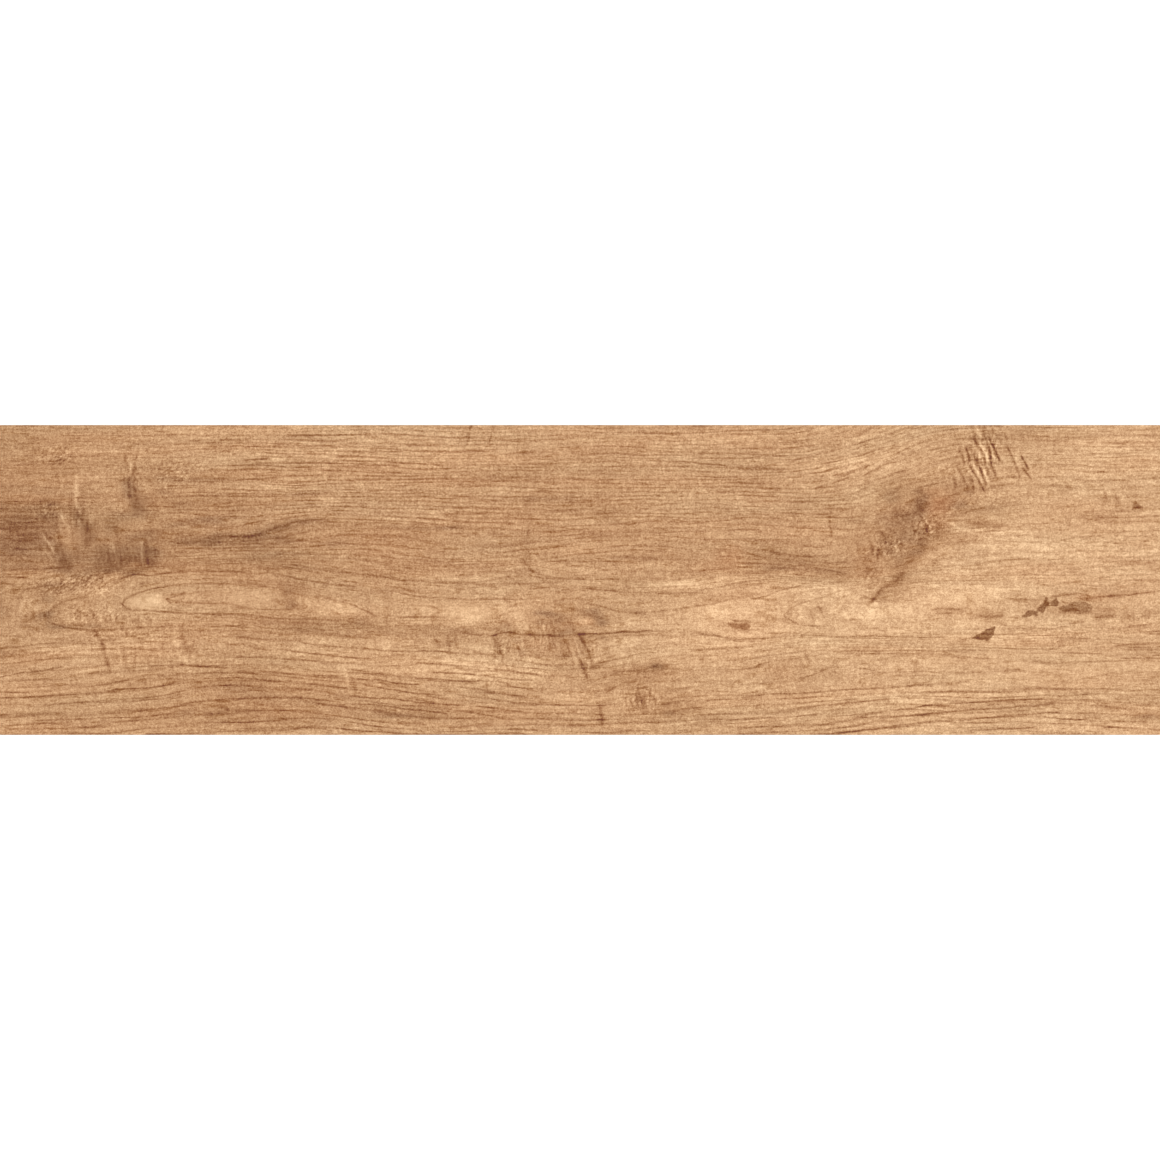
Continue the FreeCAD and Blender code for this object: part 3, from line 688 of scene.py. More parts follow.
        (630, 635, 16, 4, -14), (692, 634, 14, 4, -14), (604, 607, 14, 5, -6), (602, 638, 10, 5, -10),
        (460, 630, 24, 5, -16), (472, 634, 20, 4, -12), (400, 628, 40, 5, -8), (394, 635, 16, 5, -16),
        (450, 642, 8, 4, -14), (437, 641, 6, 4, -10), (445, 647, 26, 4, 10), (497, 648, 6, 12, -18),
        (516, 653, 16, 5, -14), (530, 650, 26, 8, -10), (582, 645, 10, 12, -20), (562, 650, 14, 10, -8),
        (545, 645, 20, 8, -6, 3), (592, 666, 12, 5, -16), (640, 622, 40, 8, 10), (660, 645, 60, 5, 5),
        (700, 647, 50, 4, -14), (720, 610, 26, 8, 26), (700, 613, 20, 5, 10), (745, 636, 18, 7, 14),
        (740, 626, 14, 6, -18), (470, 669, 34, 7, 22), (480, 650, 30, 8, 8), (532, 667, 16, 9, 18),
        (410, 648, 40, 6, 14), (500, 608, 8, 8, 12), (420, 668, 40, 8, 8), (520, 675, 40, 6, 8),
        (500, 686, 26, 8, 10), (548, 676, 14, 5, 10), (570, 680, 26, 5, -6), (490, 671, 30, 12, 11),
        (450, 678, 30, 5, 8), (556, 644, 10, 5, -10), (515, 640, 12, 4, -9), (525, 656, 16, 4, -8),
        (430, 629, 26, 6, -8), (756, 622, 8, 6, -12),
    ],
    "middle, lower grain": [
        (622, 673, 22, 4, -12), (628, 670, 18, 4, 12), (659, 666, 9, 4, -42), (648, 668, 16, 6, -10),
        (640, 679, 36, 7, -14), (605, 656, 20, 4, -14), (598, 691, 12, 5, 14), (597, 700, 10, 8, 8),
        (662, 695, 16, 4, -18), (700, 640, 40, 10, 4), (770, 676, 16, 4, -13), (775, 645, 14, 3, -10),
        (705, 692, 24, 4, -8), (765, 690, 20, 7, 8), (465, 704, 12, 4, -8), (530, 704, 24, 3, -8),
        (730, 645, 60, 8, 10), (638, 700, 12, 10, -26), (678, 707, 20, 8, -16), (667, 713, 9, 3, -24),
        (700, 705, 12, 6, -10), (600, 712, 6, 12, -18), (565, 706, 26, 14, 8), (410, 710, 50, 8, -6),
        (425, 716, 20, 5, -8), (395, 718, 30, 4, -12), (440, 695, 60, 8, -2), (440, 702, 20, 5, -8),
        (690, 687, 30, 5, 9), (750, 715, 35, 5, 10), (560, 706, 16, 10, 7), (600, 708, 8, 8, 7),
        (640, 695, 12, 6, 8), (570, 687, 26, 6, -6), (495, 721, 26, 5, -7),
    ],
    "right end, upper grain": [
        (810, 500, 40, 20, -4), (800, 515, 34, 8, -8), (852, 522, 16, 5, -12), (1010, 478, 10, 4, 12),
        (1020, 434, 30, 6, -20), (1060, 440, 44, 5, -14), (830, 448, 10, 6, -12), (865, 462, 30, 8, 16),
        (868, 466, 26, 6, 8), (945, 471, 14, 5, 12), (820, 478, 20, 14, 8), (1112, 496, 30, 8, 7),
        (1127, 489, 14, 5, -12), (1092, 505, 9, 6, -12), (1014, 471, 10, 6, -14), (1137, 507, 9, 4, -8),
        (1100, 475, 16, 5, 8), (1120, 477, 14, 4, -14), (1050, 490, 22, 5, -12), (1068, 463, 14, 10, 8),
        (1012, 485, 24, 8, -6), (1010, 508, 18, 10, -12), (1100, 445, 40, 10, 8), (1085, 515, 26, 4, -14),
        (1110, 523, 40, 7, -12), (905, 475, 10, 5, -14), (1108, 500, 8, 3, -6), (948, 465, 12, 4, -8),
        (1000, 489, 14, 4, -7), (1125, 514, 12, 4, -8), (1100, 505, 22, 10, 7), (846, 473, 10, 4, 10),
        (795, 458, 18, 6, 8), (795, 480, 14, 5, 6), (835, 428, 30, 5, 10), (875, 431, 16, 5, -8),
        (1038, 483, 14, 6, 6),
    ],
    "branch scar on the right": [
        (780, 556, 30, 10, -8), (800, 570, 40, 6, -16, 3), (805, 562, 30, 4, -15), (815, 545, 24, 4, 8),
        (834, 575, 24, 6, -22), (868, 562, 16, 14, -14, 4), (893, 547, 20, 14, -28), (893, 540, 10, 5, 6),
        (921, 547, 12, 9, -30), (908, 530, 30, 14, -28), (900, 515, 22, 8, -26, 4), (919, 505, 9, 13, -38),
        (905, 490, 24, 9, -16), (891, 499, 14, 8, -28), (920, 482, 24, 5, -8), (960, 508, 14, 6, -14),
        (938, 504, 18, 10, -34, 14), (935, 525, 16, 10, -12, 6), (880, 525, 14, 8, -10),
        (860, 541, 14, 5, -12), (886, 558, 14, 7, -8), (850, 566, 12, 5, -12), (912, 567, 10, 6, -14),
        (879, 591, 8, 6, -12), (908, 596, 18, 4, -11), (872, 573, 10, 8, -16), (898, 572, 8, 12, -18),
        (904, 584, 10, 8, -20), (882, 590, 10, 9, -18), (882, 602, 14, 4, -20), (856, 592, 12, 5, 9),
        (876, 600, 10, 5, -8), (975, 470, 24, 30, -12), (960, 486, 18, 7, -14), (978, 436, 22, 12, -12),
        (968, 495, 14, 6, -22), (958, 503, 10, 6, -18), (993, 510, 10, 5, -20), (986, 525, 18, 5, -26, 3),
        (968, 543, 18, 4, -8), (976, 518, 14, 3, 10), (968, 512, 20, 8, -10), (855, 515, 20, 9, -10),
        (938, 538, 12, 5, -22), (972, 541, 14, 6, -14), (960, 515, 16, 9, -14), (942, 488, 12, 6, -11),
        (893, 560, 14, 8, -8), (860, 596, 9, 5, -12), (830, 543, 22, 5, -8), (832, 535, 10, 4, 7),
        (892, 537, 8, 6, 8), (780, 545, 14, 6, -7),
    ],
    "right end, above the split knot": [
        (1020, 535, 24, 8, 18), (1040, 548, 60, 8, 14), (985, 548, 20, 8, 12), (950, 552, 30, 7, 10),
        (955, 571, 20, 9, 18), (1038, 577, 26, 6, 16), (1045, 532, 12, 4, -12), (1065, 558, 40, 4, 8),
        (1105, 540, 34, 4, -16), (1140, 538, 20, 5, -8), (1110, 552, 16, 4, -14), (1145, 556, 26, 7, 14),
        (1110, 572, 20, 6, 12), (985, 590, 30, 5, 16), (975, 599, 24, 5, 14), (940, 587, 30, 8, 8),
        (1010, 588, 30, 6, 5), (1040, 598, 16, 6, -10), (830, 590, 34, 7, 20), (782, 604, 26, 9, 16),
        (1110, 548, 22, 5, 12),
    ],
    "right end, round the split knot": [
        (868, 612, 34, 6, 20), (905, 609, 26, 6, 12), (890, 617, 26, 4, 8), (875, 634, 30, 6, 14),
        (940, 634, 40, 6, 7), (816, 612, 14, 8, -22), (800, 612, 10, 5, 8), (810, 636, 12, 8, -12),
        (820, 640, 30, 8, 16), (930, 600, 30, 8, 14), (950, 610, 16, 4, -16), (988, 620, 14, 9, -24),
        (990, 613, 16, 4, -12), (968, 627, 12, 8, 14), (993, 633, 12, 6, 14), (1008, 616, 14, 5, 20),
        (1048, 603, 16, 6, -12), (1032, 612, 12, 4, -12), (1075, 608, 30, 6, -14, 3),
        (1100, 612, 14, 6, -10), (1138, 614, 22, 7, -9), (1063, 600, 8, 4, 14), (1065, 610, 12, 6, -18),
        (988, 627, 8, 5, -10), (1045, 636, 14, 10, 3), (1068, 638, 12, 4, -16), (1090, 597, 20, 4, -14, 5),
        (1110, 592, 30, 3, -12), (1106, 612, 10, 4, -14), (1040, 637, 30, 4, 8), (782, 613, 12, 4, -10),
        (995, 634, 10, 6, 10), (1020, 640, 24, 5, 12), (1010, 611, 8, 7, -10), (927, 614, 10, 7, 9),
        (910, 645, 9, 7, -8), (1140, 613, 14, 5, -6),
    ],
    "right end, lower grain": [
        (860, 650, 16, 4, -12), (850, 645, 26, 5, -8), (884, 659, 18, 4, -18), (790, 667, 18, 5, -20),
        (905, 670, 40, 5, 8), (925, 650, 30, 8, 7), (1010, 670, 30, 4, 8), (1080, 662, 50, 4, 10),
        (1115, 666, 12, 5, -10), (1135, 676, 14, 4, -12), (900, 680, 60, 5, -6), (940, 700, 30, 8, 4),
        (900, 693, 14, 5, 10), (915, 704, 24, 5, 10), (945, 711, 20, 4, -8), (1000, 706, 20, 5, -12),
        (1052, 717, 16, 6, 16), (1098, 700, 14, 4, 20), (1110, 706, 20, 4, -8), (1146, 718, 22, 5, -34),
        (1120, 717, 12, 5, 10), (920, 725, 60, 4, 10), (1040, 730, 80, 4, 10), (850, 715, 40, 4, -10),
        (780, 672, 20, 12, -4, 3), (1020, 690, 40, 5, 6), (1120, 688, 30, 6, 6), (1055, 720, 12, 5, 8),
        (1130, 729, 40, 5, 8), (880, 672, 26, 5, 8), (965, 722, 40, 4, 7), (890, 690, 10, 6, -8),
        (1130, 700, 30, 5, -7), (1125, 664, 30, 4, -7),
    ],
}

# Places with their own texture: x, y, half length, half width, share of the ring lines, share of the fine
# grain, strength of the curled speckle.
TEXTURES = [
    (80, 460, 130, 50, 0.5, 1.0, 0), (345, 465, 125, 60, 1.4, 1.05, 0), (600, 470, 130, 50, 1.1, 1.0, 0),
    (860, 460, 90, 40, 1.0, 1.0, 0), (1070, 480, 100, 60, 0.8, 0.95, 0), (105, 545, 75, 30, 0.35, 0.9, 0),
    (900, 530, 60, 45, 0.35, 0.9, 0), (145, 601, 22, 8, 0.1, 0.5, 0), (230, 598, 60, 12, 0.3, 0.85, 0),
    (120, 690, 150, 50, 1.1, 1.0, 0), (540, 635, 55, 25, 0.2, 1.0, 0), (300, 600, 200, 22, 0.7, 0.95, 0),
    (560, 700, 70, 20, 0.7, 0.95, 0), (980, 705, 90, 30, 1.1, 1.0, 0), (1050, 660, 120, 30, 0.9, 0.85, 0),
    (468, 612, 26, 7, 0.4, 0.7, 0), (130, 555, 34, 14, 0.5, 0.75, 0), (138, 505, 9, 12, 0.5, 0.55, 0),
    (88, 532, 12, 16, 0.5, 0.8, 0), (65, 554, 9, 16, 0.5, 0.85, 0), (905, 520, 28, 24, 0.5, 0.85, 0),
    (78, 584, 44, 13, 0.4, 1.0, 1.0), (58, 455, 22, 10, 0.7, 1.1, 0.9), (172, 472, 26, 16, 0.7, 1.0, 0.65),
    (48, 510, 14, 9, 1.0, 1.0, 0.7), (95, 614, 44, 10, 0.3, 1.0, 0.7), (125, 634, 50, 9, 0.6, 1.0, 0.65),
    (155, 452, 22, 20, 0.7, 1.0, 0.4), (893, 546, 18, 12, 0.3, 1.1, 0.8), (872, 575, 14, 18, 0.3, 1.0, 0.6),
    (930, 525, 18, 16, 0.3, 1.1, 0.8), (518, 646, 30, 12, 0.2, 1.1, 0.5), (985, 495, 26, 14, 0.6, 1.0, 0.5),
    (115, 505, 20, 12, 0.5, 1.0, 0.4), (185, 600, 20, 8, 0.3, 1.0, 0.4), (640, 700, 26, 16, 0.5, 1.0, 0.5),
    (885, 520, 26, 14, 0.6, 1.0, 0.6), (872, 552, 14, 12, 0.6, 1.0, 0.6), (905, 530, 34, 30, 0.8, 1.1, 0.5),
    (480, 677, 52, 14, 1.4, 1.05, 0), (378, 700, 14, 8, 1.4, 1.1, 0), (758, 705, 16, 10, 1.5, 1.1, 0),
    (280, 635, 42, 10, 1.4, 1.0, 0), (1055, 637, 38, 12, 1.5, 1.15, 0), (808, 575, 10, 10, 1.2, 1.15, 0),
    (355, 517, 18, 8, 1.4, 1.0, 0), (495, 510, 28, 14, 1.4, 1.05, 0), (118, 510, 14, 6, 1.2, 1.1, 0),
    (118, 545, 14, 6, 1.0, 1.15, 0), (1100, 638, 70, 18, 1.5, 1.1, 0), (980, 460, 22, 12, 1.0, 1.1, 0),
    (1015, 550, 18, 16, 0.7, 0.87, 0), (1145, 550, 18, 8, 0.7, 0.87, 0), (740, 547, 12, 14, 0.7, 0.87, 0),
    (318, 567, 10, 24, 0.7, 0.87, 0), (620, 543, 32, 9, 0.8, 0.9, 0), (300, 667, 62, 12, 0.75, 0.92, 0),
    (145, 690, 8, 10, 0.7, 0.92, 0), (495, 719, 34, 9, 0.8, 0.9, 0), (662, 697, 9, 18, 0.8, 0.87, 0),
    (75, 478, 16, 8, 0.8, 0.87, 0),
]

# Each stroke is laid in one of this many sets, so that strokes that lie close together don't mix.
STROKE_SETS = 8


def soft_noise(along, across, length, pitch, seed):
    """Smooth random waves of about one unit, this long and this far apart."""
    size = 128
    lattice = np.random.default_rng(seed).standard_normal((size, size))
    u, v = along / length, across / pitch
    i, j = np.floor(u).astype(int), np.floor(v).astype(int)
    fu, fv = u - i, v - j
    fu, fv = fu * fu * (3 - 2 * fu), fv * fv * (3 - 2 * fv)
    i0, i1, j0, j1 = i % size, (i + 1) % size, j % size, (j + 1) % size
    low = lattice[i0, j0] * (1 - fu) + lattice[i1, j0] * fu
    high = lattice[i0, j1] * (1 - fu) + lattice[i1, j1] * fu
    return 1.4 * (low * (1 - fv) + high * fv)


def ramp(value, start, end):
    """Rises smoothly from 0 at start to 1 at end."""
    t = np.clip((value - start) / (end - start), 0, 1)
    return t * t * (3 - 2 * t)


def growth_levels(along, across):
    """The level of the growth lines at each point: a thin plate bent through the listed lines."""
    stretch, knot_gap, give, batch = 4.0, 24, 12.0, 8192
    knots, levels = [], []
    for level, line in GROWTH_LINES:
        line = np.array(line, float)
        steps = np.concatenate([[0], np.cumsum(np.hypot(*np.diff(line, axis=0).T))])
        places = np.linspace(0, steps[-1], max(2, int(round(steps[-1] / knot_gap)) + 1))
        knots.append(np.stack([np.interp(places, steps, line[:, 0]) / stretch,
                               np.interp(places, steps, line[:, 1])], axis=1))
        levels.append(np.full(len(places), float(level)))
    knots, levels = np.concatenate(knots), np.concatenate(levels)

    def bend(points):
        gap = ((points[:, None, :] - knots[None, :, :]) ** 2).sum(axis=2)
        return 0.5 * gap * np.log(gap + 1e-9)

    count = len(knots)
    flat = np.column_stack([np.ones(count), knots])
    system = np.zeros((count + 3, count + 3))
    system[:count, :count] = bend(knots) + give * np.eye(count)
    system[:count, count:], system[count:, :count] = flat, flat.T
    weights = np.linalg.solve(system, np.concatenate([levels, np.zeros(3)]))
    points = np.stack([along.ravel() / stretch, across.ravel()], axis=1)
    out = np.empty(len(points))
    for start in range(0, len(points), batch):
        part = points[start:start + batch]
        out[start:start + batch] = bend(part) @ weights[:count] + weights[count] + part @ weights[count + 1:]
    return out.reshape(along.shape)


def window(grid_x, grid_y, points, margin):
    """The block of the face mesh that lies within this margin of the points."""
    points = np.array(points, float)
    (x0, y0), (x1, y1) = points.min(axis=0) - margin, points.max(axis=0) + margin
    columns = np.flatnonzero((grid_x[:, 0] >= x0) & (grid_x[:, 0] <= x1))
    rows = np.flatnonzero((grid_y[0] >= y0) & (grid_y[0] <= y1))
    if not len(columns) or not len(rows):
        return None
    return np.s_[columns[0]:columns[-1] + 1, rows[0]:rows[-1] + 1]


def beside_line(x, y, line):
    """Signed distance from a line, how far past its ends, and the slope of its nearest run."""
    best = np.full(x.shape, 1e9)
    side, past, lean = (np.zeros(x.shape) for _ in range(3))
    line = np.array(line, float)
    last = len(line) - 2
    for k, (start, end) in enumerate(zip(line[:-1], line[1:])):
        run = end - start
        length = np.hypot(*run)
        run = run / length
        forward = (x - start[0]) * run[0] + (y - start[1]) * run[1]
        across = (x - start[0]) * run[1] - (y - start[1]) * run[0]
        short = np.where(forward < 0, -forward, 0)
        long = np.where(forward > length, forward - length, 0)
        gap = np.hypot(across, short + long)
        free = (short if k == 0 else 0) + (long if k == last else 0)
        bound = (0 if k == 0 else short) + (0 if k == last else long)
        near = gap < best
        best = np.where(near, gap, best)
        side = np.where(near, np.where(across < 0, -1, 1) * np.hypot(across, bound), side)
        past = np.where(near, free, past)
        lean = np.where(near, abs(run[1]), lean)
    return side, past, lean


def lay_strokes(x, y):
    """Shares the strokes out over a few sets, so that in each set none lies close to another.

    Each set holds three numbers a point: distance from the stroke, its strength, its half width. The
    distance is smooth across a stroke, so the line stays sharp on a coarser mesh.
    """
    step_x, step_y = abs(x[1, 0] - x[0, 0]), abs(y[0, 1] - y[0, 0])
    sets = np.zeros((STROKE_SETS, *x.shape, 3))
    sets[..., 0], sets[..., 2] = 20.0, 1.0
    taken = np.zeros((STROKE_SETS, *x.shape), bool)
    for strokes in STROKES.values():
        for strength, half_width, line in strokes:
            block = window(x, y, line, 14)
            if block is None:
                continue
            side, past, lean = beside_line(x[block], y[block], line)
            cell = lean * step_x + (1 - lean) * step_y
            full = 2.3 * half_width + cell
            weight = (1 - ramp(abs(side), full, full + 1.5 * cell)) * (1 - ramp(past, 0.5, 6.0))
            zone = (abs(side) < full + 2.6 * cell) & (past < 6.0 + step_x)
            clash = [np.count_nonzero(taken[n][block] & zone) for n in range(STROKE_SETS)]
            best = int(np.argmin(clash))
            keep = zone & ~(taken[best][block] & (abs(sets[best][block][..., 0]) < abs(side)))
            values = np.stack([side, strength * weight, np.full(side.shape, half_width)], axis=-1)
            sets[best][block][keep] = values[keep]
            taken[best][block] |= zone
    return sets


def lay_patches(x, y):
    """Distance from the edge of the nearest filled mark (below 0 inside), its strength, how red."""
    values = np.zeros((*x.shape, 3))
    values[..., 0] = 20.0
    for strength, red, outline in PATCHES.values():
        block = window(x, y, outline, 12)
        px, py = x[block], y[block]
        ring = np.array(outline, float)
        gap = np.full(px.shape, 1e9)
        inside = np.zeros(px.shape, bool)
        for start, end in zip(ring, np.roll(ring, -1, axis=0)):
            run = end - start
            t = np.clip(((px - start[0]) * run[0] + (py - start[1]) * run[1]) / (run @ run), 0, 1)
            gap = np.minimum(gap, np.hypot(px - start[0] - t * run[0], py - start[1] - t * run[1]))
            if start[1] != end[1]:
                crosses = (start[1] > py) != (end[1] > py)
                inside ^= crosses & (px < run[0] * (py - start[1]) / run[1] + start[0])
        gap = np.where(inside, -gap, gap)
        near = gap < values[block][..., 0]
        mark = np.stack([gap, np.full(gap.shape, strength), np.full(gap.shape, red)], axis=-1)
        values[block][near] = mark[near]
    return values


def lay_shades(x, y):
    """The soft shades, with edges as ragged as they are large: tone steps and how red."""
    drift_x = 0.11 * soft_noise(x, y, 22, 7, 11) + 0.06 * soft_noise(x, y, 8, 4, 12)
    drift_y = 0.20 * soft_noise(x, y, 26, 7, 13) + 0.12 * soft_noise(x, y, 9, 4, 14)
    tone, red = np.zeros(x.shape), np.zeros(x.shape)
    for shades in SHADES.values():
        for cx, cy, half_x, half_y, step, *redness in shades:
            past_x = (x - cx + drift_x * min(half_x, 50)) / half_x
            past_y = (y - cy + drift_y * min(half_y, 14)) / half_y
            spread = np.exp(-1.1 * (past_x ** 2 + past_y ** 2))
            tone += step * spread
            red += (redness[0] if redness else 0) * spread
    return tone, red


def lay_texture(x, y):
    """Shares of the ring lines and of the fine grain at each point, and how strong the curled speckle is."""
    values = np.zeros((*x.shape, 3))
    values[..., :2] = 1.0
    for cx, cy, half_x, half_y, lines, grain, curls in TEXTURES:
        spread = np.exp(-(((x - cx) / half_x) ** 2 + ((y - cy) / half_y) ** 2) ** 2)
        values[..., 0] *= 1 + (lines - 1) * spread
        values[..., 1] *= 1 + (grain - 1) * spread
        values[..., 2] = np.maximum(values[..., 2], curls * spread)
    return values


def lay_ridges(x, y):
    """Rows of short ridges across the grain: where in the wave each point is, and how strong."""
    phase, strength = np.zeros(x.shape), np.zeros(x.shape)
    for cx, cy, half_x, half_y, lean, pitch, height in RIDGES:
        spread = height * np.exp(-1.4 * (((x - cx) / half_x) ** 2 + ((y - cy) / half_y) ** 2) ** 2)
        wave = (x - cx - lean * (y - cy)) / pitch + 0.25 * soft_noise(x, y, 14, 9, 21)
        phase = np.where(spread > strength, wave, phase)
        strength = np.maximum(spread, strength)
    return phase, np.where(strength > 0.4, strength, 0)


def draw_figure():
    """The face's grid of points, and every layer of its printed figure at those points."""
    half_x, half_y = LENGTH / 2 - FACE_BEVEL, WIDTH / 2 - FACE_BEVEL
    x, y = np.meshgrid(np.linspace(-half_x, half_x, COLUMNS + 1), np.linspace(-half_y, half_y, ROWS + 1),
                       indexing="ij")
    px, py = MIDDLE + x / POINT, MIDDLE - y / POINT
    figure = {"growth": growth_levels(px, py)}
    slope = np.gradient(figure["growth"], px[:, 0], py[0])
    figure["steepness"] = np.maximum(np.hypot(*slope), 0.2)
    figure["texture"] = lay_texture(px, py)
    figure["shade"], figure["red"] = lay_shades(px, py)
    figure["ridge_phase"], figure["ridge_strength"] = lay_ridges(px, py)
    strokes = lay_strokes(px, py)
    for number, values in enumerate(strokes):
        figure[f"strokes_{number}"] = values
    figure["patch"] = lay_patches(px, py)

    level = figure["growth"]
    press = 0.30 + 0.22 * soft_noise(px, level, 60, 4.5, 31) + 0.14 * soft_noise(px, level, 24, 2.6, 32)
    for values in strokes:
        press += 0.03 * values[..., 1] * np.exp(-((values[..., 0] / (values[..., 2] + 0.6)) ** 2))
    press += 0.9 * (1 - ramp(figure["patch"][..., 0], -1.5, 1.0))
    press -= 0.03 * figure["ridge_strength"] * np.sin(2 * np.pi * figure["ridge_phase"])
    border = np.minimum(np.minimum(half_x - abs(x), half_y - abs(y)) / 0.002, 1)
    depth = RELIEF_DEPTH * np.clip(press, 0, 1) * border
    return x, y, depth, figure


def joined_inputs(tree, values):
    """Gives a node tree its named inputs, each with a starting value."""
    for name, kind, value in values:
        socket = tree.interface.new_socket(name=name, in_out="INPUT", socket_type=kind)
        if value is not None:
            socket.default_value = value


def back_tree():
    """Geometry Nodes tree of the back: a plate with a grid of drafted cells pressed into it."""
    tree = bpy.data.node_groups.new("Ribbed back", "GeometryNodeTree")
    joined_inputs(tree, [
        ("Back length", "NodeSocketFloat", LENGTH - 2 * BACK_BEVEL),
        ("Back width", "NodeSocketFloat", WIDTH - 2 * BACK_BEVEL),
        ("Grid length", "NodeSocketFloat", LENGTH - 2 * BACK_RIM),
        ("Grid width", "NodeSocketFloat", WIDTH - 2 * BACK_RIM),
        ("Cells along", "NodeSocketInt", CELLS_ALONG),
        ("Cells across", "NodeSocketInt", CELLS_ACROSS),
        ("Rib width", "NodeSocketFloat", RIB_WIDTH),
        ("Cell depth", "NodeSocketFloat", CELL_DEPTH),
        ("Cell corner", "NodeSocketFloat", CELL_CORNER),
        ("Cell draft", "NodeSocketFloat", CELL_DRAFT),
        ("Back finish", "NodeSocketMaterial", None),
    ])
    tree.interface.new_socket(name="Back", in_out="OUTPUT", socket_type="NodeSocketGeometry")
    given = tree.nodes.new("NodeGroupInput").outputs
    made = tree.nodes.new("NodeGroupOutput").inputs

    def put(node, **sockets):
        for name, value in sockets.items():
            socket = node.inputs[name.replace("_", " ")]
            if isinstance(value, bpy.types.NodeSocket):
                tree.links.new(value, socket)
            else:
                socket.default_value = value
        return node

    def math(operation, first, second):
        node = tree.nodes.new("ShaderNodeMath")
        node.operation = operation
        for socket, value in zip(node.inputs, (first, second)):
            if isinstance(value, bpy.types.NodeSocket):
                tree.links.new(value, socket)
            else:
                socket.default_value = value
        return node.outputs[0]

    def cell_and_step(grid, cells):
        pitch = math("DIVIDE", math("ADD", given[grid], given["Rib width"]), given[cells])
        cell = math("SUBTRACT", pitch, given["Rib width"])
        return cell, math("MULTIPLY", pitch, math("SUBTRACT", given[cells], 1.0))

    cell_x, reach_x = cell_and_step("Grid length", "Cells along")
    cell_y, reach_y = cell_and_step("Grid width", "Cells across")

    mouth = put(tree.nodes.new("GeometryNodeCurvePrimitiveQuadrilateral"), Width=cell_x, Height=cell_y)
    rounded = tree.nodes.new("GeometryNodeFilletCurve")
    rounded.mode = "POLY"
    put(rounded, Curve=mouth.outputs[0], Count=5, Radius=given["Cell corner"])
    grid = put(tree.nodes.new("GeometryNodeMeshGrid"), Size_X=reach_x, Size_Y=reach_y,
               Vertices_X=given["Cells along"], Vertices_Y=given["Cells across"])
    placed = put(tree.nodes.new("GeometryNodeInstanceOnPoints"), Points=grid.outputs[0],
                 Instance=rounded.outputs[0])
    mouths = put(tree.nodes.new("GeometryNodeRealizeInstances"), Geometry=placed.outputs[0]).outputs[0]

    rim = put(tree.nodes.new("GeometryNodeCurvePrimitiveQuadrilateral"), Width=given["Back length"],
              Height=given["Back width"])
    outlines = tree.nodes.new("GeometryNodeJoinGeometry")
    tree.links.new(rim.outputs[0], outlines.inputs[0])
    tree.links.new(mouths, outlines.inputs[0])
    ribs = tree.nodes.new("GeometryNodeFillCurve")
    ribs.mode = "TRIANGLES"
    tree.links.new(outlines.outputs[0], ribs.inputs["Curve"])

    floors = tree.nodes.new("GeometryNodeFillCurve")
    floors.mode = "NGONS"
    tree.links.new(mouths, floors.inputs["Curve"])
    up = tree.nodes.new("ShaderNodeCombineXYZ")
    up.inputs[2].default_value = 1.0
    pressed = tree.nodes.new("GeometryNodeExtrudeMesh")
    pressed.mode = "FACES"
    put(pressed, Mesh=floors.outputs[0], Offset=up.outputs[0], Offset_Scale=given["Cell depth"],
        Individual=True)
    drafted = tree.nodes.new("GeometryNodeScaleElements")
    drafted.domain = "FACE"
    shrink = math("SUBTRACT", 1.0, math("DIVIDE", math("MULTIPLY", given["Cell draft"], 2.0), cell_x))
    put(drafted, Geometry=pressed.outputs["Mesh"], Selection=pressed.outputs["Top"], Scale=shrink)

    both = tree.nodes.new("GeometryNodeJoinGeometry")
    tree.links.new(ribs.outputs[0], both.inputs[0])
    tree.links.new(drafted.outputs[0], both.inputs[0])
    turned = put(tree.nodes.new("GeometryNodeFlipFaces"), Mesh=both.outputs[0])
    sewn = put(tree.nodes.new("GeometryNodeMergeByDistance"), Geometry=turned.outputs[0], Distance=0.00001)
    real = put(tree.nodes.new("GeometryNodeRealizeInstances"), Geometry=sewn.outputs[0])
    finished = put(tree.nodes.new("GeometryNodeSetMaterial"), Geometry=real.outputs[0],
                   Material=given["Back finish"])
    tree.links.new(finished.outputs[0], made[0])
    return tree


def press_back(finish):
    """The back as a plain mesh, made by its tree."""
    tree = back_tree()
    blank = bpy.data.objects.new("back_blank", bpy.data.meshes.new("back_blank"))
    bpy.context.scene.collection.objects.link(blank)
    modifier = blank.modifiers.new("Ribbed back", "NODES")
    modifier.node_group = tree
    for socket in tree.interface.items_tree:
        if socket.in_out == "INPUT" and socket.name == "Back finish":
            modifier[socket.identifier] = finish
    seen = blank.evaluated_get(bpy.context.evaluated_depsgraph_get())
    mesh = bpy.data.meshes.new_from_object(seen)
    blank.modifiers.clear()
    bpy.data.objects.remove(blank)
    return mesh


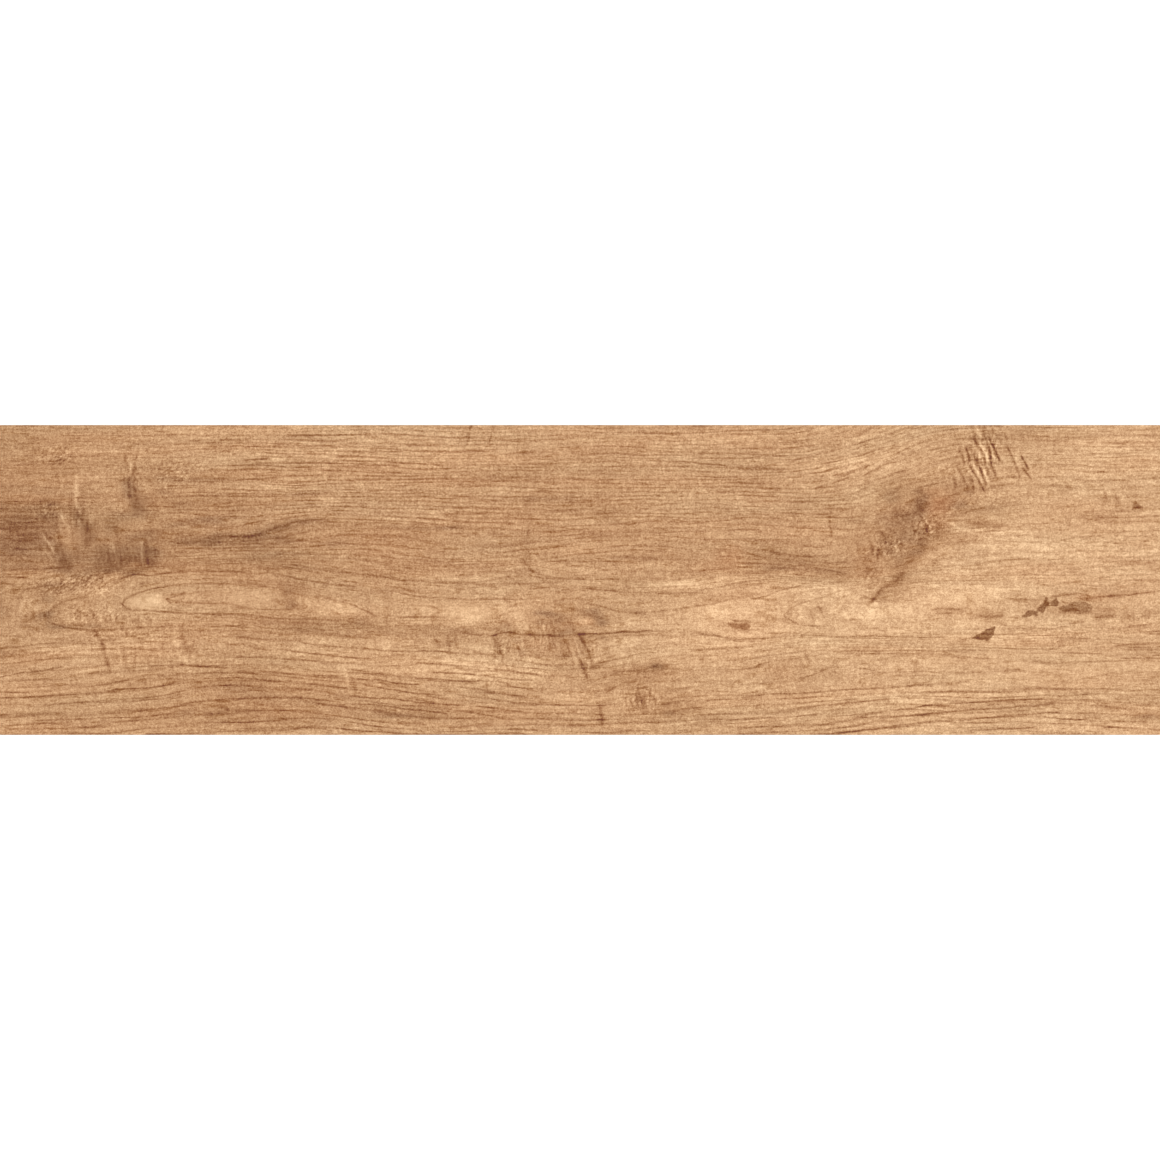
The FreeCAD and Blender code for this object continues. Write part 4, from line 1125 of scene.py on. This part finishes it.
def build_plank(finishes):
    """The whole plank as one closed mesh, with its figure as attributes of its points."""
    x, y, depth, figure = draw_figure()
    top = HIGH[2] - depth
    points = np.stack([x, y, top], axis=-1).reshape(-1, 3)
    number = np.arange(points.shape[0]).reshape(x.shape)
    grid = np.stack([number[:-1, :-1], number[1:, :-1], number[1:, 1:], number[:-1, 1:]], axis=-1)
    grid = grid.reshape(-1, 4)

    border = np.concatenate([number[:-1, 0], number[-1, :-1], number[:0:-1, -1], number[0, :0:-1]])
    turn = [0, COLUMNS, COLUMNS + ROWS, 2 * COLUMNS + ROWS, len(border)]
    outward = np.array([LENGTH / (LENGTH - 2 * FACE_BEVEL), WIDTH / (WIDTH - 2 * FACE_BEVEL)])
    rings = []
    for height in (HIGH[2] - FACE_BEVEL, LOW[2] + BACK_BEVEL):
        ring = points[border].copy()
        ring[:, :2] *= outward
        ring[:, 2] = height
        rings.append(len(points) + np.arange(len(ring)))
        points = np.concatenate([points, ring])

    def band(upper, lower):
        return np.stack([upper, lower, np.roll(lower, -1), np.roll(upper, -1)], axis=-1)

    bevel, sides = band(border, rings[0]), band(rings[0], rings[1])

    back = press_back(finishes[2])
    back_points = np.array([v.co for v in back.vertices])
    back_points[:, 2] += LOW[2]
    base = len(points)
    points = np.concatenate([points, back_points])
    corners = []
    for corner in points[rings[1][turn[:4]]]:
        goal = corner - np.sign(corner) * [BACK_BEVEL, BACK_BEVEL, corner[2]]
        corners.append(base + int(np.argmin(((back_points - goal) ** 2).sum(axis=1))))
    slants = []
    for side in range(4):
        first, second = corners[side], corners[(side + 1) % 4]
        low = [rings[1][k % len(border)] for k in range(turn[side], turn[side + 1] + 1)]
        half = len(low) // 2
        slants += [(low[k], first, low[k + 1]) for k in range(half)]
        slants.append((low[half], first, second))
        slants += [(low[k], second, low[k + 1]) for k in range(half, len(low) - 1)]

    faces = [tuple(f) for f in grid] + [tuple(f) for f in bevel] + [tuple(f) for f in sides] + slants
    finish = [0] * (len(grid) + len(bevel)) + [1] * len(sides) + [2] * len(slants)
    for polygon in back.polygons:
        faces.append(tuple(base + v for v in polygon.vertices))
        finish.append(2)
    bpy.data.meshes.remove(back)

    mesh = bpy.data.meshes.new(NODE + "_dressed")
    mesh.from_pydata(points.tolist(), [], faces)
    for material in finishes:
        mesh.materials.append(material)
    mesh.polygons.foreach_set("material_index", finish)
    mesh.polygons.foreach_set("use_smooth", [True] * len(faces))
    mesh.set_sharp_from_angle(angle=0.5)

    for name, values in figure.items():
        vector = values.ndim == 3
        layer = mesh.attributes.new(name, "FLOAT_VECTOR" if vector else "FLOAT", "POINT")
        whole = np.zeros((len(points), 3) if vector else len(points))
        whole[:x.size] = values.reshape(-1, 3) if vector else values.ravel()
        ring = np.concatenate([border, border])
        whole[x.size:x.size + len(ring)] = whole[ring]
        layer.data.foreach_set("vector" if vector else "value", whole.ravel())

    # The chart has the face in its upper two thirds, the back under it and the sides as strips below.
    flat = points[:, 0] / LENGTH + 0.5, points[:, 1] / WIDTH + 0.5, points[:, 2] / THICKNESS
    chart = mesh.uv_layers.new(name="OFBake")
    owner = np.empty(len(mesh.loops), int)
    mesh.loops.foreach_get("vertex_index", owner)
    u, v, w = (axis[owner] for axis in flat)
    place = np.stack([u, 0.10 + 0.22 * v], axis=-1)
    edge = 4 * (len(grid) + len(bevel))
    place[:edge, 1] = 0.34 + 0.66 * v[:edge]
    strips = [(u, 0.060), (v * 0.26, 0.004), (u, 0.032), (v * 0.26 + 0.30, 0.004)]
    for side, (run, level) in enumerate(strips):
        rows = slice(edge + 4 * turn[side], edge + 4 * turn[side + 1])
        place[rows, 0] = run[rows]
        place[rows, 1] = level + 0.022 * w[rows]
    chart.data.foreach_set("uv", place.ravel())
    mesh.validate()
    mesh.update()
    plank = bpy.data.objects.new(NODE + "_dressed", mesh)
    bpy.context.scene.collection.objects.link(plank)
    return plank


class Bench:
    """Lays nodes in a tree and joins them. A value may be a number, a list or another node's socket."""

    def __init__(self, tree):
        self.tree = tree

    def node(self, kind, *values, out=0, **settings):
        node = self.tree.nodes.new(kind)
        for name, value in settings.items():
            setattr(node, name, value)
        for socket, value in zip([s for s in node.inputs if s.enabled], values):
            self.put(socket, value)
        return node.outputs[out]

    def put(self, socket, value):
        if value is None:
            return
        if isinstance(value, bpy.types.NodeSocket):
            self.tree.links.new(value, socket)
        else:
            socket.default_value = value

    def math(self, operation, *values, clamp=False):
        return self.node("ShaderNodeMath", *values, operation=operation, use_clamp=clamp)

    def times(self, first, second):
        return self.math("MULTIPLY", first, second)

    def total(self, *values):
        first = values[0]
        for value in values[1:]:
            first = self.math("ADD", first, value)
        return first

    def vector(self, operation, *values):
        return self.node("ShaderNodeVectorMath", *values, operation=operation)

    def combine(self, x, y, z):
        return self.node("ShaderNodeCombineXYZ", x, y, z)

    def split(self, value):
        return self.tree.nodes[self.node("ShaderNodeSeparateXYZ", value).node.name].outputs

    def bell(self, value, width):
        """1 where the value is 0, falling off on both sides of it."""
        share = self.math("DIVIDE", value, width)
        return self.math("EXPONENT", self.times(self.times(share, share), -1.0))

    def rise(self, value, start, end, low=0.0, high=1.0):
        return self.node("ShaderNodeMapRange", value, start, end, low, high, interpolation_type="SMOOTHSTEP")

    def attribute(self, name, out="Fac"):
        node = self.tree.nodes.new("ShaderNodeAttribute")
        node.attribute_name = name
        return node.outputs[out]

    def group(self, tree, **values):
        node = self.tree.nodes.new("ShaderNodeGroup")
        node.node_tree = tree
        for name, value in values.items():
            self.put(node.inputs[name.replace("_", " ")], value)
        return node.outputs

    def mix(self, share, first, second):
        node = self.tree.nodes.new("ShaderNodeMix")
        node.data_type = "RGBA"
        for name, value in (("Factor_Float", share), ("A_Color", first), ("B_Color", second)):
            self.put(next(s for s in node.inputs if s.identifier == name), value)
        return next(s for s in node.outputs if s.identifier == "Result_Color")


def shader_group(name, inputs, outputs):
    """An empty shader group, its bench, its given sockets and its made sockets."""
    tree = bpy.data.node_groups.new(name, "ShaderNodeTree")
    joined_inputs(tree, inputs)
    for label, kind in outputs:
        tree.interface.new_socket(name=label, in_out="OUTPUT", socket_type=kind)
    given, made = tree.nodes.new("NodeGroupInput"), tree.nodes.new("NodeGroupOutput")
    return tree, Bench(tree), given.outputs, made.inputs


FLOAT, COLOR, VECTOR = "NodeSocketFloat", "NodeSocketColor", "NodeSocketVector"


def streak_group():
    """Streaks of about one unit in strength, this long, this far apart, and the thin lines between them."""
    tree, bench, given, made = shader_group(
        "Streaks",
        [("Along", FLOAT, 0.0), ("Across", FLOAT, 0.0), ("Length", FLOAT, 40.0), ("Pitch", FLOAT, 3.0),
         ("Layer", FLOAT, 0.0), ("Detail", FLOAT, 1.0), ("Line width", FLOAT, 0.3)],
        [("Level", FLOAT), ("Line", FLOAT)])
    where = bench.combine(bench.math("DIVIDE", given["Along"], given["Length"]),
                          bench.math("DIVIDE", given["Across"], given["Pitch"]), given["Layer"])
    noise = tree.nodes.new("ShaderNodeTexNoise")
    bench.put(noise.inputs["Vector"], where)
    noise.inputs["Scale"].default_value = 1.0
    bench.put(noise.inputs["Detail"], given["Detail"])
    level = bench.times(bench.math("SUBTRACT", noise.outputs["Fac"], 0.5), 8.0)
    bench.put(made["Level"], level)
    bench.put(made["Line"], bench.bell(level, given["Line width"]))
    return tree


def ring_group():
    """Growth rings as thin dark lines, each with its own wander and its own strength along the way."""
    tree, bench, given, made = shader_group(
        "Growth rings",
        [("Along", FLOAT, 0.0), ("Growth", FLOAT, 0.0), ("Steepness", FLOAT, 1.0), ("Pitch", FLOAT, 7.0),
         ("Line width", FLOAT, 1.0), ("Layer", FLOAT, 0.0), ("Faintest", FLOAT, 0.2)],
        [("Line", FLOAT), ("Swell", FLOAT)])

    def noise(length, across, layer):
        node = tree.nodes.new("ShaderNodeTexNoise")
        bench.put(node.inputs["Vector"], bench.combine(bench.math("DIVIDE", given["Along"], length), across,
                                                       bench.math("ADD", given["Layer"], layer)))
        node.inputs["Scale"].default_value = 1.0
        node.inputs["Detail"].default_value = 1.0
        return bench.times(bench.math("SUBTRACT", node.outputs["Fac"], 0.5), 8.0)

    sway = noise(130.0, bench.math("DIVIDE", given["Growth"], 22.0), 3.5)
    phase = bench.math("ADD", bench.math("DIVIDE", given["Growth"], given["Pitch"]), bench.times(sway, 0.28))
    ring = bench.math("FLOOR", phase)
    inside = bench.math("SUBTRACT", bench.math("SUBTRACT", phase, ring), 0.5)
    shift = bench.times(noise(160.0, bench.times(ring, 7.13), 5.5), 0.10)
    strength = bench.rise(noise(55.0, bench.times(ring, 5.37), 9.5), -1.9, 1.4, given["Faintest"], 1.0)
    width = bench.math("DIVIDE", bench.times(given["Line width"], given["Steepness"]), given["Pitch"])
    bench.put(made["Line"], bench.times(bench.bell(bench.math("ADD", inside, shift), width), strength))
    bench.put(made["Swell"], bench.math("COSINE", bench.times(bench.math("ADD", inside, shift), 2 * np.pi)))
    return tree


def stroke_group():
    """A set of printed strokes: their darkness at each point, broken up along the line."""
    tree, bench, given, made = shader_group(
        "Printed strokes", [("Set", VECTOR, (20, 0, 1)), ("Wander", FLOAT, 0.0), ("Break", FLOAT, 1.0)],
        [("Dark", FLOAT)])
    side, strength, half_width = bench.split(given["Set"])
    shape = bench.bell(bench.math("ADD", side, given["Wander"]), half_width)
    bench.put(made["Dark"], bench.times(bench.times(shape, strength), given["Break"]))
    return tree


def speckle_group():
    """Fine grains of fired clay and ink, as a level of about one unit."""
    tree, bench, given, made = shader_group(
        "Fired speckle", [("Place", VECTOR, (0, 0, 0)), ("Grain", FLOAT, 0.0006), ("Detail", FLOAT, 1.0)],
        [("Level", FLOAT)])
    noise = tree.nodes.new("ShaderNodeTexNoise")
    bench.put(noise.inputs["Vector"], given["Place"])
    bench.put(noise.inputs["Scale"], bench.math("DIVIDE", 1.0, given["Grain"]))
    bench.put(noise.inputs["Detail"], given["Detail"])
    bench.put(made["Level"], bench.times(bench.math("SUBTRACT", noise.outputs["Fac"], 0.5), 8.0))
    return tree


def ink_group():
    """The colour of the print from its tone, 0 to 255 as the photograph shows it, and how red it is."""
    tree, bench, given, made = shader_group(
        "Print ink", [("Tone", FLOAT, 155.0), ("Red", FLOAT, 0.0), ("Cool", FLOAT, 0.0)], [("Color", COLOR)])
    tone = bench.combine(given["Tone"], given["Tone"], given["Tone"])
    shown = bench.vector("MULTIPLY_ADD", tone, INK_SLOPE, INK_START)
    shown = bench.vector("MULTIPLY_ADD", bench.combine(given["Red"], given["Red"], given["Red"]),
                         RED_SHIFT, shown)
    shown = bench.vector("MULTIPLY_ADD", bench.combine(given["Cool"], given["Cool"], given["Cool"]),
                         COOL_SHIFT, shown)
    shown = bench.vector("MULTIPLY_ADD", shown, (1 / (255 * 1.055),) * 3, (0.055 / 1.055,) * 3)
    light = bench.vector("POWER", shown, (2.4,) * 3)
    paint = bench.vector("MULTIPLY_ADD", light, (1 / FACE_LIGHT,) * 3, (-FACE_SHEEN / FACE_LIGHT,) * 3)
    bench.put(made["Color"], bench.vector("MAXIMUM", paint, (DARKEST_INK,) * 3))
    return tree


def new_finish(name):
    """A material with its bench and its Principled shader."""
    material = bpy.data.materials.new(name)
    material.use_nodes = True
    shader = next(n for n in material.node_tree.nodes if n.type == "BSDF_PRINCIPLED")
    return material, Bench(material.node_tree), shader.inputs


def place_on_plank(bench):
    """Object coordinates as they are, and in picture points."""
    where = bench.node("ShaderNodeTexCoord", out="Object")
    x, y, z = bench.split(where)
    along = bench.math("MULTIPLY_ADD", x, 1 / POINT, MIDDLE)
    down = bench.math("MULTIPLY_ADD", y, -1 / POINT, MIDDLE)
    return where, along, down, z


def printed_face(groups):
    """The wood look face: printed tones under a matt glaze."""
    material, bench, shader = new_finish("Printed matt glaze")
    where, along, down, _ = place_on_plank(bench)

    def streaks(across, length, pitch, layer, detail=1.0, line=0.3):
        return bench.group(groups["streaks"], Along=along, Across=across, Length=length, Pitch=pitch,
                           Layer=layer, Detail=detail, Line_width=line)

    wobble = streaks(down, 70.0, 9.0, 1.5)["Level"]
    level = bench.math("MULTIPLY_ADD", wobble, 0.7, bench.attribute("growth"))
    lower = bench.rise(down, 628.0, 668.0)
    heart = bench.bell(bench.math("SUBTRACT", down, 606.0), 26.0)

    bands = streaks(level, 260.0, 15.0, 2.5)["Level"]
    wide = streaks(level, 70.0, 5.5, 3.5)["Level"]
    fine = streaks(level, 34.0, 2.6, 4.5, 2.0)["Level"]
    hair = streaks(down, 12.0, 1.3, 5.5)["Level"]
    mottle = streaks(down, 4.2, 3.0, 6.5)["Level"]
    flecks = streaks(down, 10.0, 5.0, 15.5)["Level"]
    hatch = streaks(down, 2.4, 12.0, 7.5)["Level"]
    clots = streaks(down, 2.6, 1.9, 16.5)["Level"]
    steep = bench.attribute("steepness")
    upper_rings = bench.group(groups["rings"], Along=along, Growth=level, Steepness=steep, Pitch=4.1,
                              Line_width=0.85, Layer=8.5, Faintest=0.12)
    lower_rings = bench.group(groups["rings"], Along=along, Growth=level, Steepness=steep, Pitch=6.9,
                              Line_width=0.95, Layer=9.5, Faintest=0.25)
    pores = bench.rise(streaks(level, 14.0, 1.25, 10.5)["Level"], 0.45, 1.9)
    glints = bench.rise(streaks(down, 8.0, 1.3, 17.5)["Level"], 0.6, 2.0)
    dashes = bench.rise(streaks(down, 40.0, 6.0, 11.5)["Level"], -1.4, 1.2, 0.35, 1.25)
    grains = bench.group(groups["speckle"], Place=where, Grain=0.00062)["Level"]

    upper = bench.math("SUBTRACT", 1.0, lower)
    lined, grained, curled = bench.split(bench.attribute("texture", "Vector"))
    curls = streaks(bench.math("MULTIPLY_ADD", along, 0.35, down), 2.5, 2.2, 18.5, 1.0)["Level"]
    ring_dark = bench.total(bench.times(upper_rings["Line"], bench.times(upper, 22.0)),
                            bench.times(upper_rings["Swell"], bench.times(upper, 3.0)),
                            bench.times(lower_rings["Line"], bench.times(lower, 35.0)),
                            bench.times(lower_rings["Swell"], bench.times(lower, 2.0)))
    ring_dark = bench.times(bench.times(ring_dark, dashes), lined)
    ring_dark = bench.times(ring_dark, bench.math("SUBTRACT", 1.0, bench.times(heart, 0.75)))

    stroke_break = bench.rise(streaks(down, 10.0, 3.5, 12.5)["Level"], -1.8, 1.6, 0.7, 1.2)
    wander = bench.times(streaks(down, 9.0, 3.0, 13.5)["Level"], 0.25)
    strokes = [bench.group(groups["strokes"], Set=bench.attribute(f"strokes_{n}", "Vector"), Wander=wander,
                           Break=stroke_break)["Dark"] for n in range(STROKE_SETS)]
    patch_gap, patch_dark, patch_red = bench.split(bench.attribute("patch", "Vector"))
    patch = bench.rise(bench.math("MULTIPLY_ADD", mottle, 0.35, patch_gap), 0.9, -0.9)
    scarred = bench.attribute("ridge_strength")
    ridges = bench.times(bench.math("SINE", bench.times(bench.attribute("ridge_phase"), 2 * np.pi)),
                         bench.times(scarred, bench.rise(flecks, -1.5, 1.5, 0.3, 1.1)))

    shade = bench.attribute("shade")
    uneven = bench.math("MULTIPLY_ADD", fine, 0.10, bench.math("MULTIPLY_ADD", mottle, 0.12, 1.0))
    shade = bench.times(shade, uneven)
    grain = bench.total(
        bench.times(bands, 3.2), bench.times(wide, 2.0), bench.times(fine, 3.4), bench.times(hair, 3.2),
        bench.times(flecks, 2.4), bench.times(mottle, 3.2), bench.times(clots, 5.2),
        bench.times(hatch, bench.math("MULTIPLY_ADD", scarred, 0.75, 3.0)),
        bench.times(grains, 12.5), bench.times(pores, -20.0), bench.times(glints, 15.0))
    tone = bench.total(
        GROUND_TONE, shade, ridges, bench.times(grain, grained),
        bench.times(bench.times(curls, curled), 19.0), bench.times(ring_dark, -1.0),
        bench.times(bench.total(*strokes), -2.2), bench.times(bench.times(patch, patch_dark), -1.0))
    tone = bench.math("MINIMUM", bench.math("MAXIMUM", tone, DARKEST_TONE), LIGHTEST_TONE)
    red = bench.total(bench.attribute("red"), bench.times(streaks(level, 120.0, 18.0, 14.5)["Level"], 1.6),
                      bench.times(patch, patch_red))
    ink = bench.group(groups["ink"], Tone=tone, Red=red,
                      Cool=bench.rise(bench.attribute("shade"), -8.0, -46.0, 0.0, 11.0))["Color"]
    bench.put(shader["Base Color"], ink)
    shader["Specular IOR Level"].default_value = 0.2
    bench.put(shader["Roughness"], bench.total(0.56, bench.times(pores, 0.12), bench.times(wide, 0.012),
                                               bench.times(grains, 0.012)))
    bench.put(shader["Normal"], bench_bump(bench, bench.total(
        bench.times(fine, 0.35), bench.times(pores, -1.2), bench.times(ring_dark, -0.05),
        bench.times(bench.total(*strokes), -0.03), bench.times(hair, 0.2), bench.times(ridges, 0.05)),
        0.5, 0.00003))
    return material


def bench_bump(bench, height, strength, distance):
    """A surface normal from a height."""
    node = bench.tree.nodes.new("ShaderNodeBump")
    node.inputs["Strength"].default_value = strength
    node.inputs["Distance"].default_value = distance
    bench.put(node.inputs["Height"], height)
    return node.outputs["Normal"]


def body_color(bench, tints, share):
    """Between the light and the dark tint of the fired body."""
    light, dark = tints
    return bench.mix(share, (*light, 1.0), (*dark, 1.0))


def ground_sides(groups):
    """The sides: fired body, ground square, with fine marks along the edge and the glaze seen edge on."""
    material, bench, shader = new_finish("Ground porcelain body")
    where, along, down, height = place_on_plank(bench)
    flat = bench.total(along, down)
    up = bench.math("DIVIDE", height, POINT)
    marks = bench.group(groups["streaks"], Along=flat, Across=up, Length=60.0, Pitch=0.7, Layer=21.5,
                        Detail=2.0)["Level"]
    scores = bench.group(groups["streaks"], Along=flat, Across=up, Length=30.0, Pitch=1.6, Layer=22.5,
                         Line_width=0.16)["Line"]
    grains = bench.group(groups["speckle"], Place=where, Grain=0.0007, Detail=2.0)["Level"]
    pits = bench.rise(bench.group(groups["speckle"], Place=where, Grain=0.0011)["Level"], 1.5, 2.2)
    share = bench.math("MULTIPLY_ADD", grains, 0.13, bench.math("MULTIPLY_ADD", marks, 0.10, 0.42),
                       clamp=True)
    body = body_color(bench, SIDE_BODY, share)
    # The pits of the sides get a painted shade: a dark colour where the bump sinks them.
    body = bench.mix(bench.times(pits, 0.55), body, SIDE_PIT_SHADE)
    coat = bench.rise(bench.math("MULTIPLY_ADD", marks, 0.00004, height), *GLAZE_END)
    color = bench.mix(bench.times(coat, 0.75), body, GLAZE_EDGE)
    bench.put(shader["Base Color"], color)
    bench.put(shader["Roughness"], bench.total(0.72, bench.times(marks, 0.03), bench.times(coat, -0.12)))
    bench.put(shader["Normal"], bench_bump(bench, bench.total(
        bench.times(marks, 0.4), bench.times(scores, -0.5), bench.times(grains, 0.25),
        bench.times(pits, -1.0)), 0.6, 0.00004))
    return material


def pressed_back(groups):
    """The back: unglazed body, with a thin white kiln wash that is worn off the cells' floors."""
    material, bench, shader = new_finish("Unglazed pressed back")
    where, along, down, height = place_on_plank(bench)
    grains = bench.group(groups["speckle"], Place=where, Grain=0.0009, Detail=3.0)["Level"]
    clouds = bench.group(groups["speckle"], Place=where, Grain=0.018, Detail=3.0)["Level"]
    brushed = bench.group(groups["streaks"], Along=along, Across=down, Length=90.0, Pitch=5.0, Layer=31.5,
                          Detail=2.0)["Level"]
    pits = bench.rise(bench.group(groups["speckle"], Place=where, Grain=0.0014)["Level"], 1.6, 2.4)
    share = bench.math("MULTIPLY_ADD", grains, 0.12, bench.math("MULTIPLY_ADD", clouds, 0.12, 0.45),
                       clamp=True)
    body = body_color(bench, BACK_BODY, share)
    raised = bench.rise(height, *WASH_END)
    wash = bench.total(bench.times(raised, 0.42), bench.times(brushed, 0.10), bench.times(clouds, 0.10),
                       bench.times(grains, 0.05))
    color = bench.mix(bench.math("MAXIMUM", wash, 0.0, clamp=True), body, KILN_WASH)
    # The pits of the back get a painted shade: a dark colour where the bump sinks them.
    color = bench.mix(bench.times(pits, 0.5), color, BACK_PIT_SHADE)
    bench.put(shader["Base Color"], color)
    bench.put(shader["Roughness"], bench.total(0.86, bench.times(grains, 0.02)))
    bench.put(shader["Normal"], bench_bump(bench, bench.total(
        bench.times(grains, 0.5), bench.times(clouds, 0.4), bench.times(pits, -1.2)), 0.7, 0.00006))
    return material


def lay_floor(groups):
    """A wide white floor, just under the ribs of the back."""
    half, level = 6.0, LOW[2] - 0.0001
    mesh = bpy.data.meshes.new("studio_floor")
    corners = [(-half, -half, level), (half, -half, level), (half, half, level), (-half, half, level)]
    mesh.from_pydata(corners, [], [(0, 1, 2, 3)])
    material, bench, shader = new_finish("White studio paper")
    fibres = bench.group(groups["speckle"], Place=bench.node("ShaderNodeTexCoord", out="Object"), Grain=0.004,
                         Detail=2.0)["Level"]
    bench.put(shader["Base Color"], bench.mix(bench.math("MULTIPLY_ADD", fibres, 0.05, 0.3, clamp=True),
                                              (0.96, 0.96, 0.96, 1.0), (0.92, 0.92, 0.92, 1.0)))
    shader["Roughness"].default_value = 0.95
    shader["Specular IOR Level"].default_value = 0.1
    shader["Emission Color"].default_value = (1.0, 1.0, 1.0, 1.0)
    shader["Emission Strength"].default_value = 0.28
    mesh.materials.append(material)
    floor = bpy.data.objects.new("studio_floor", mesh)
    bpy.context.scene.collection.objects.link(floor)


def light_studio():
    """Even light from the whole sky and a wide lamp straight above."""
    world = bpy.data.worlds.new("studio sky")
    world.use_nodes = True
    sky = next(n for n in world.node_tree.nodes if n.type == "BACKGROUND")
    sky.inputs["Color"].default_value = (1.0, 1.0, 1.0, 1.0)
    sky.inputs["Strength"].default_value = SKY_LIGHT
    bpy.context.scene.world = world
    lamp = bpy.data.lights.new("overhead lamp", "SUN")
    lamp.energy = LAMP_LIGHT * np.pi
    lamp.angle = 0.45
    overhead = bpy.data.objects.new("overhead lamp", lamp)
    overhead.location = (0.0, 0.0, 4.0)
    bpy.context.scene.collection.objects.link(overhead)


def aim_camera():
    """Straight above the middle of the face, with the face from edge to edge of the picture."""
    distance = 3.0
    camera = bpy.data.cameras.new("camera")
    camera.sensor_width = 36.0
    camera.lens = camera.sensor_width * distance / (LENGTH - 2 * FACE_BEVEL)
    camera.clip_end = 50.0
    eye = bpy.data.objects.new("camera", camera)
    eye.location = (0.0, 0.0, HIGH[2] + distance)
    bpy.context.scene.collection.objects.link(eye)
    bpy.context.scene.camera = eye


def main():
    groups = {
        "streaks": streak_group(),
        "rings": ring_group(),
        "strokes": stroke_group(),
        "speckle": speckle_group(),
        "ink": ink_group(),
    }
    finishes = [printed_face(groups), ground_sides(groups), pressed_back(groups)]
    plank = build_plank(finishes)
    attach(plank, "root")
    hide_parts(NODE)
    lay_floor(groups)
    light_studio()
    aim_camera()
    settings = bpy.context.scene.view_settings
    settings.view_transform = "Standard"
    settings.look = "None"


main()
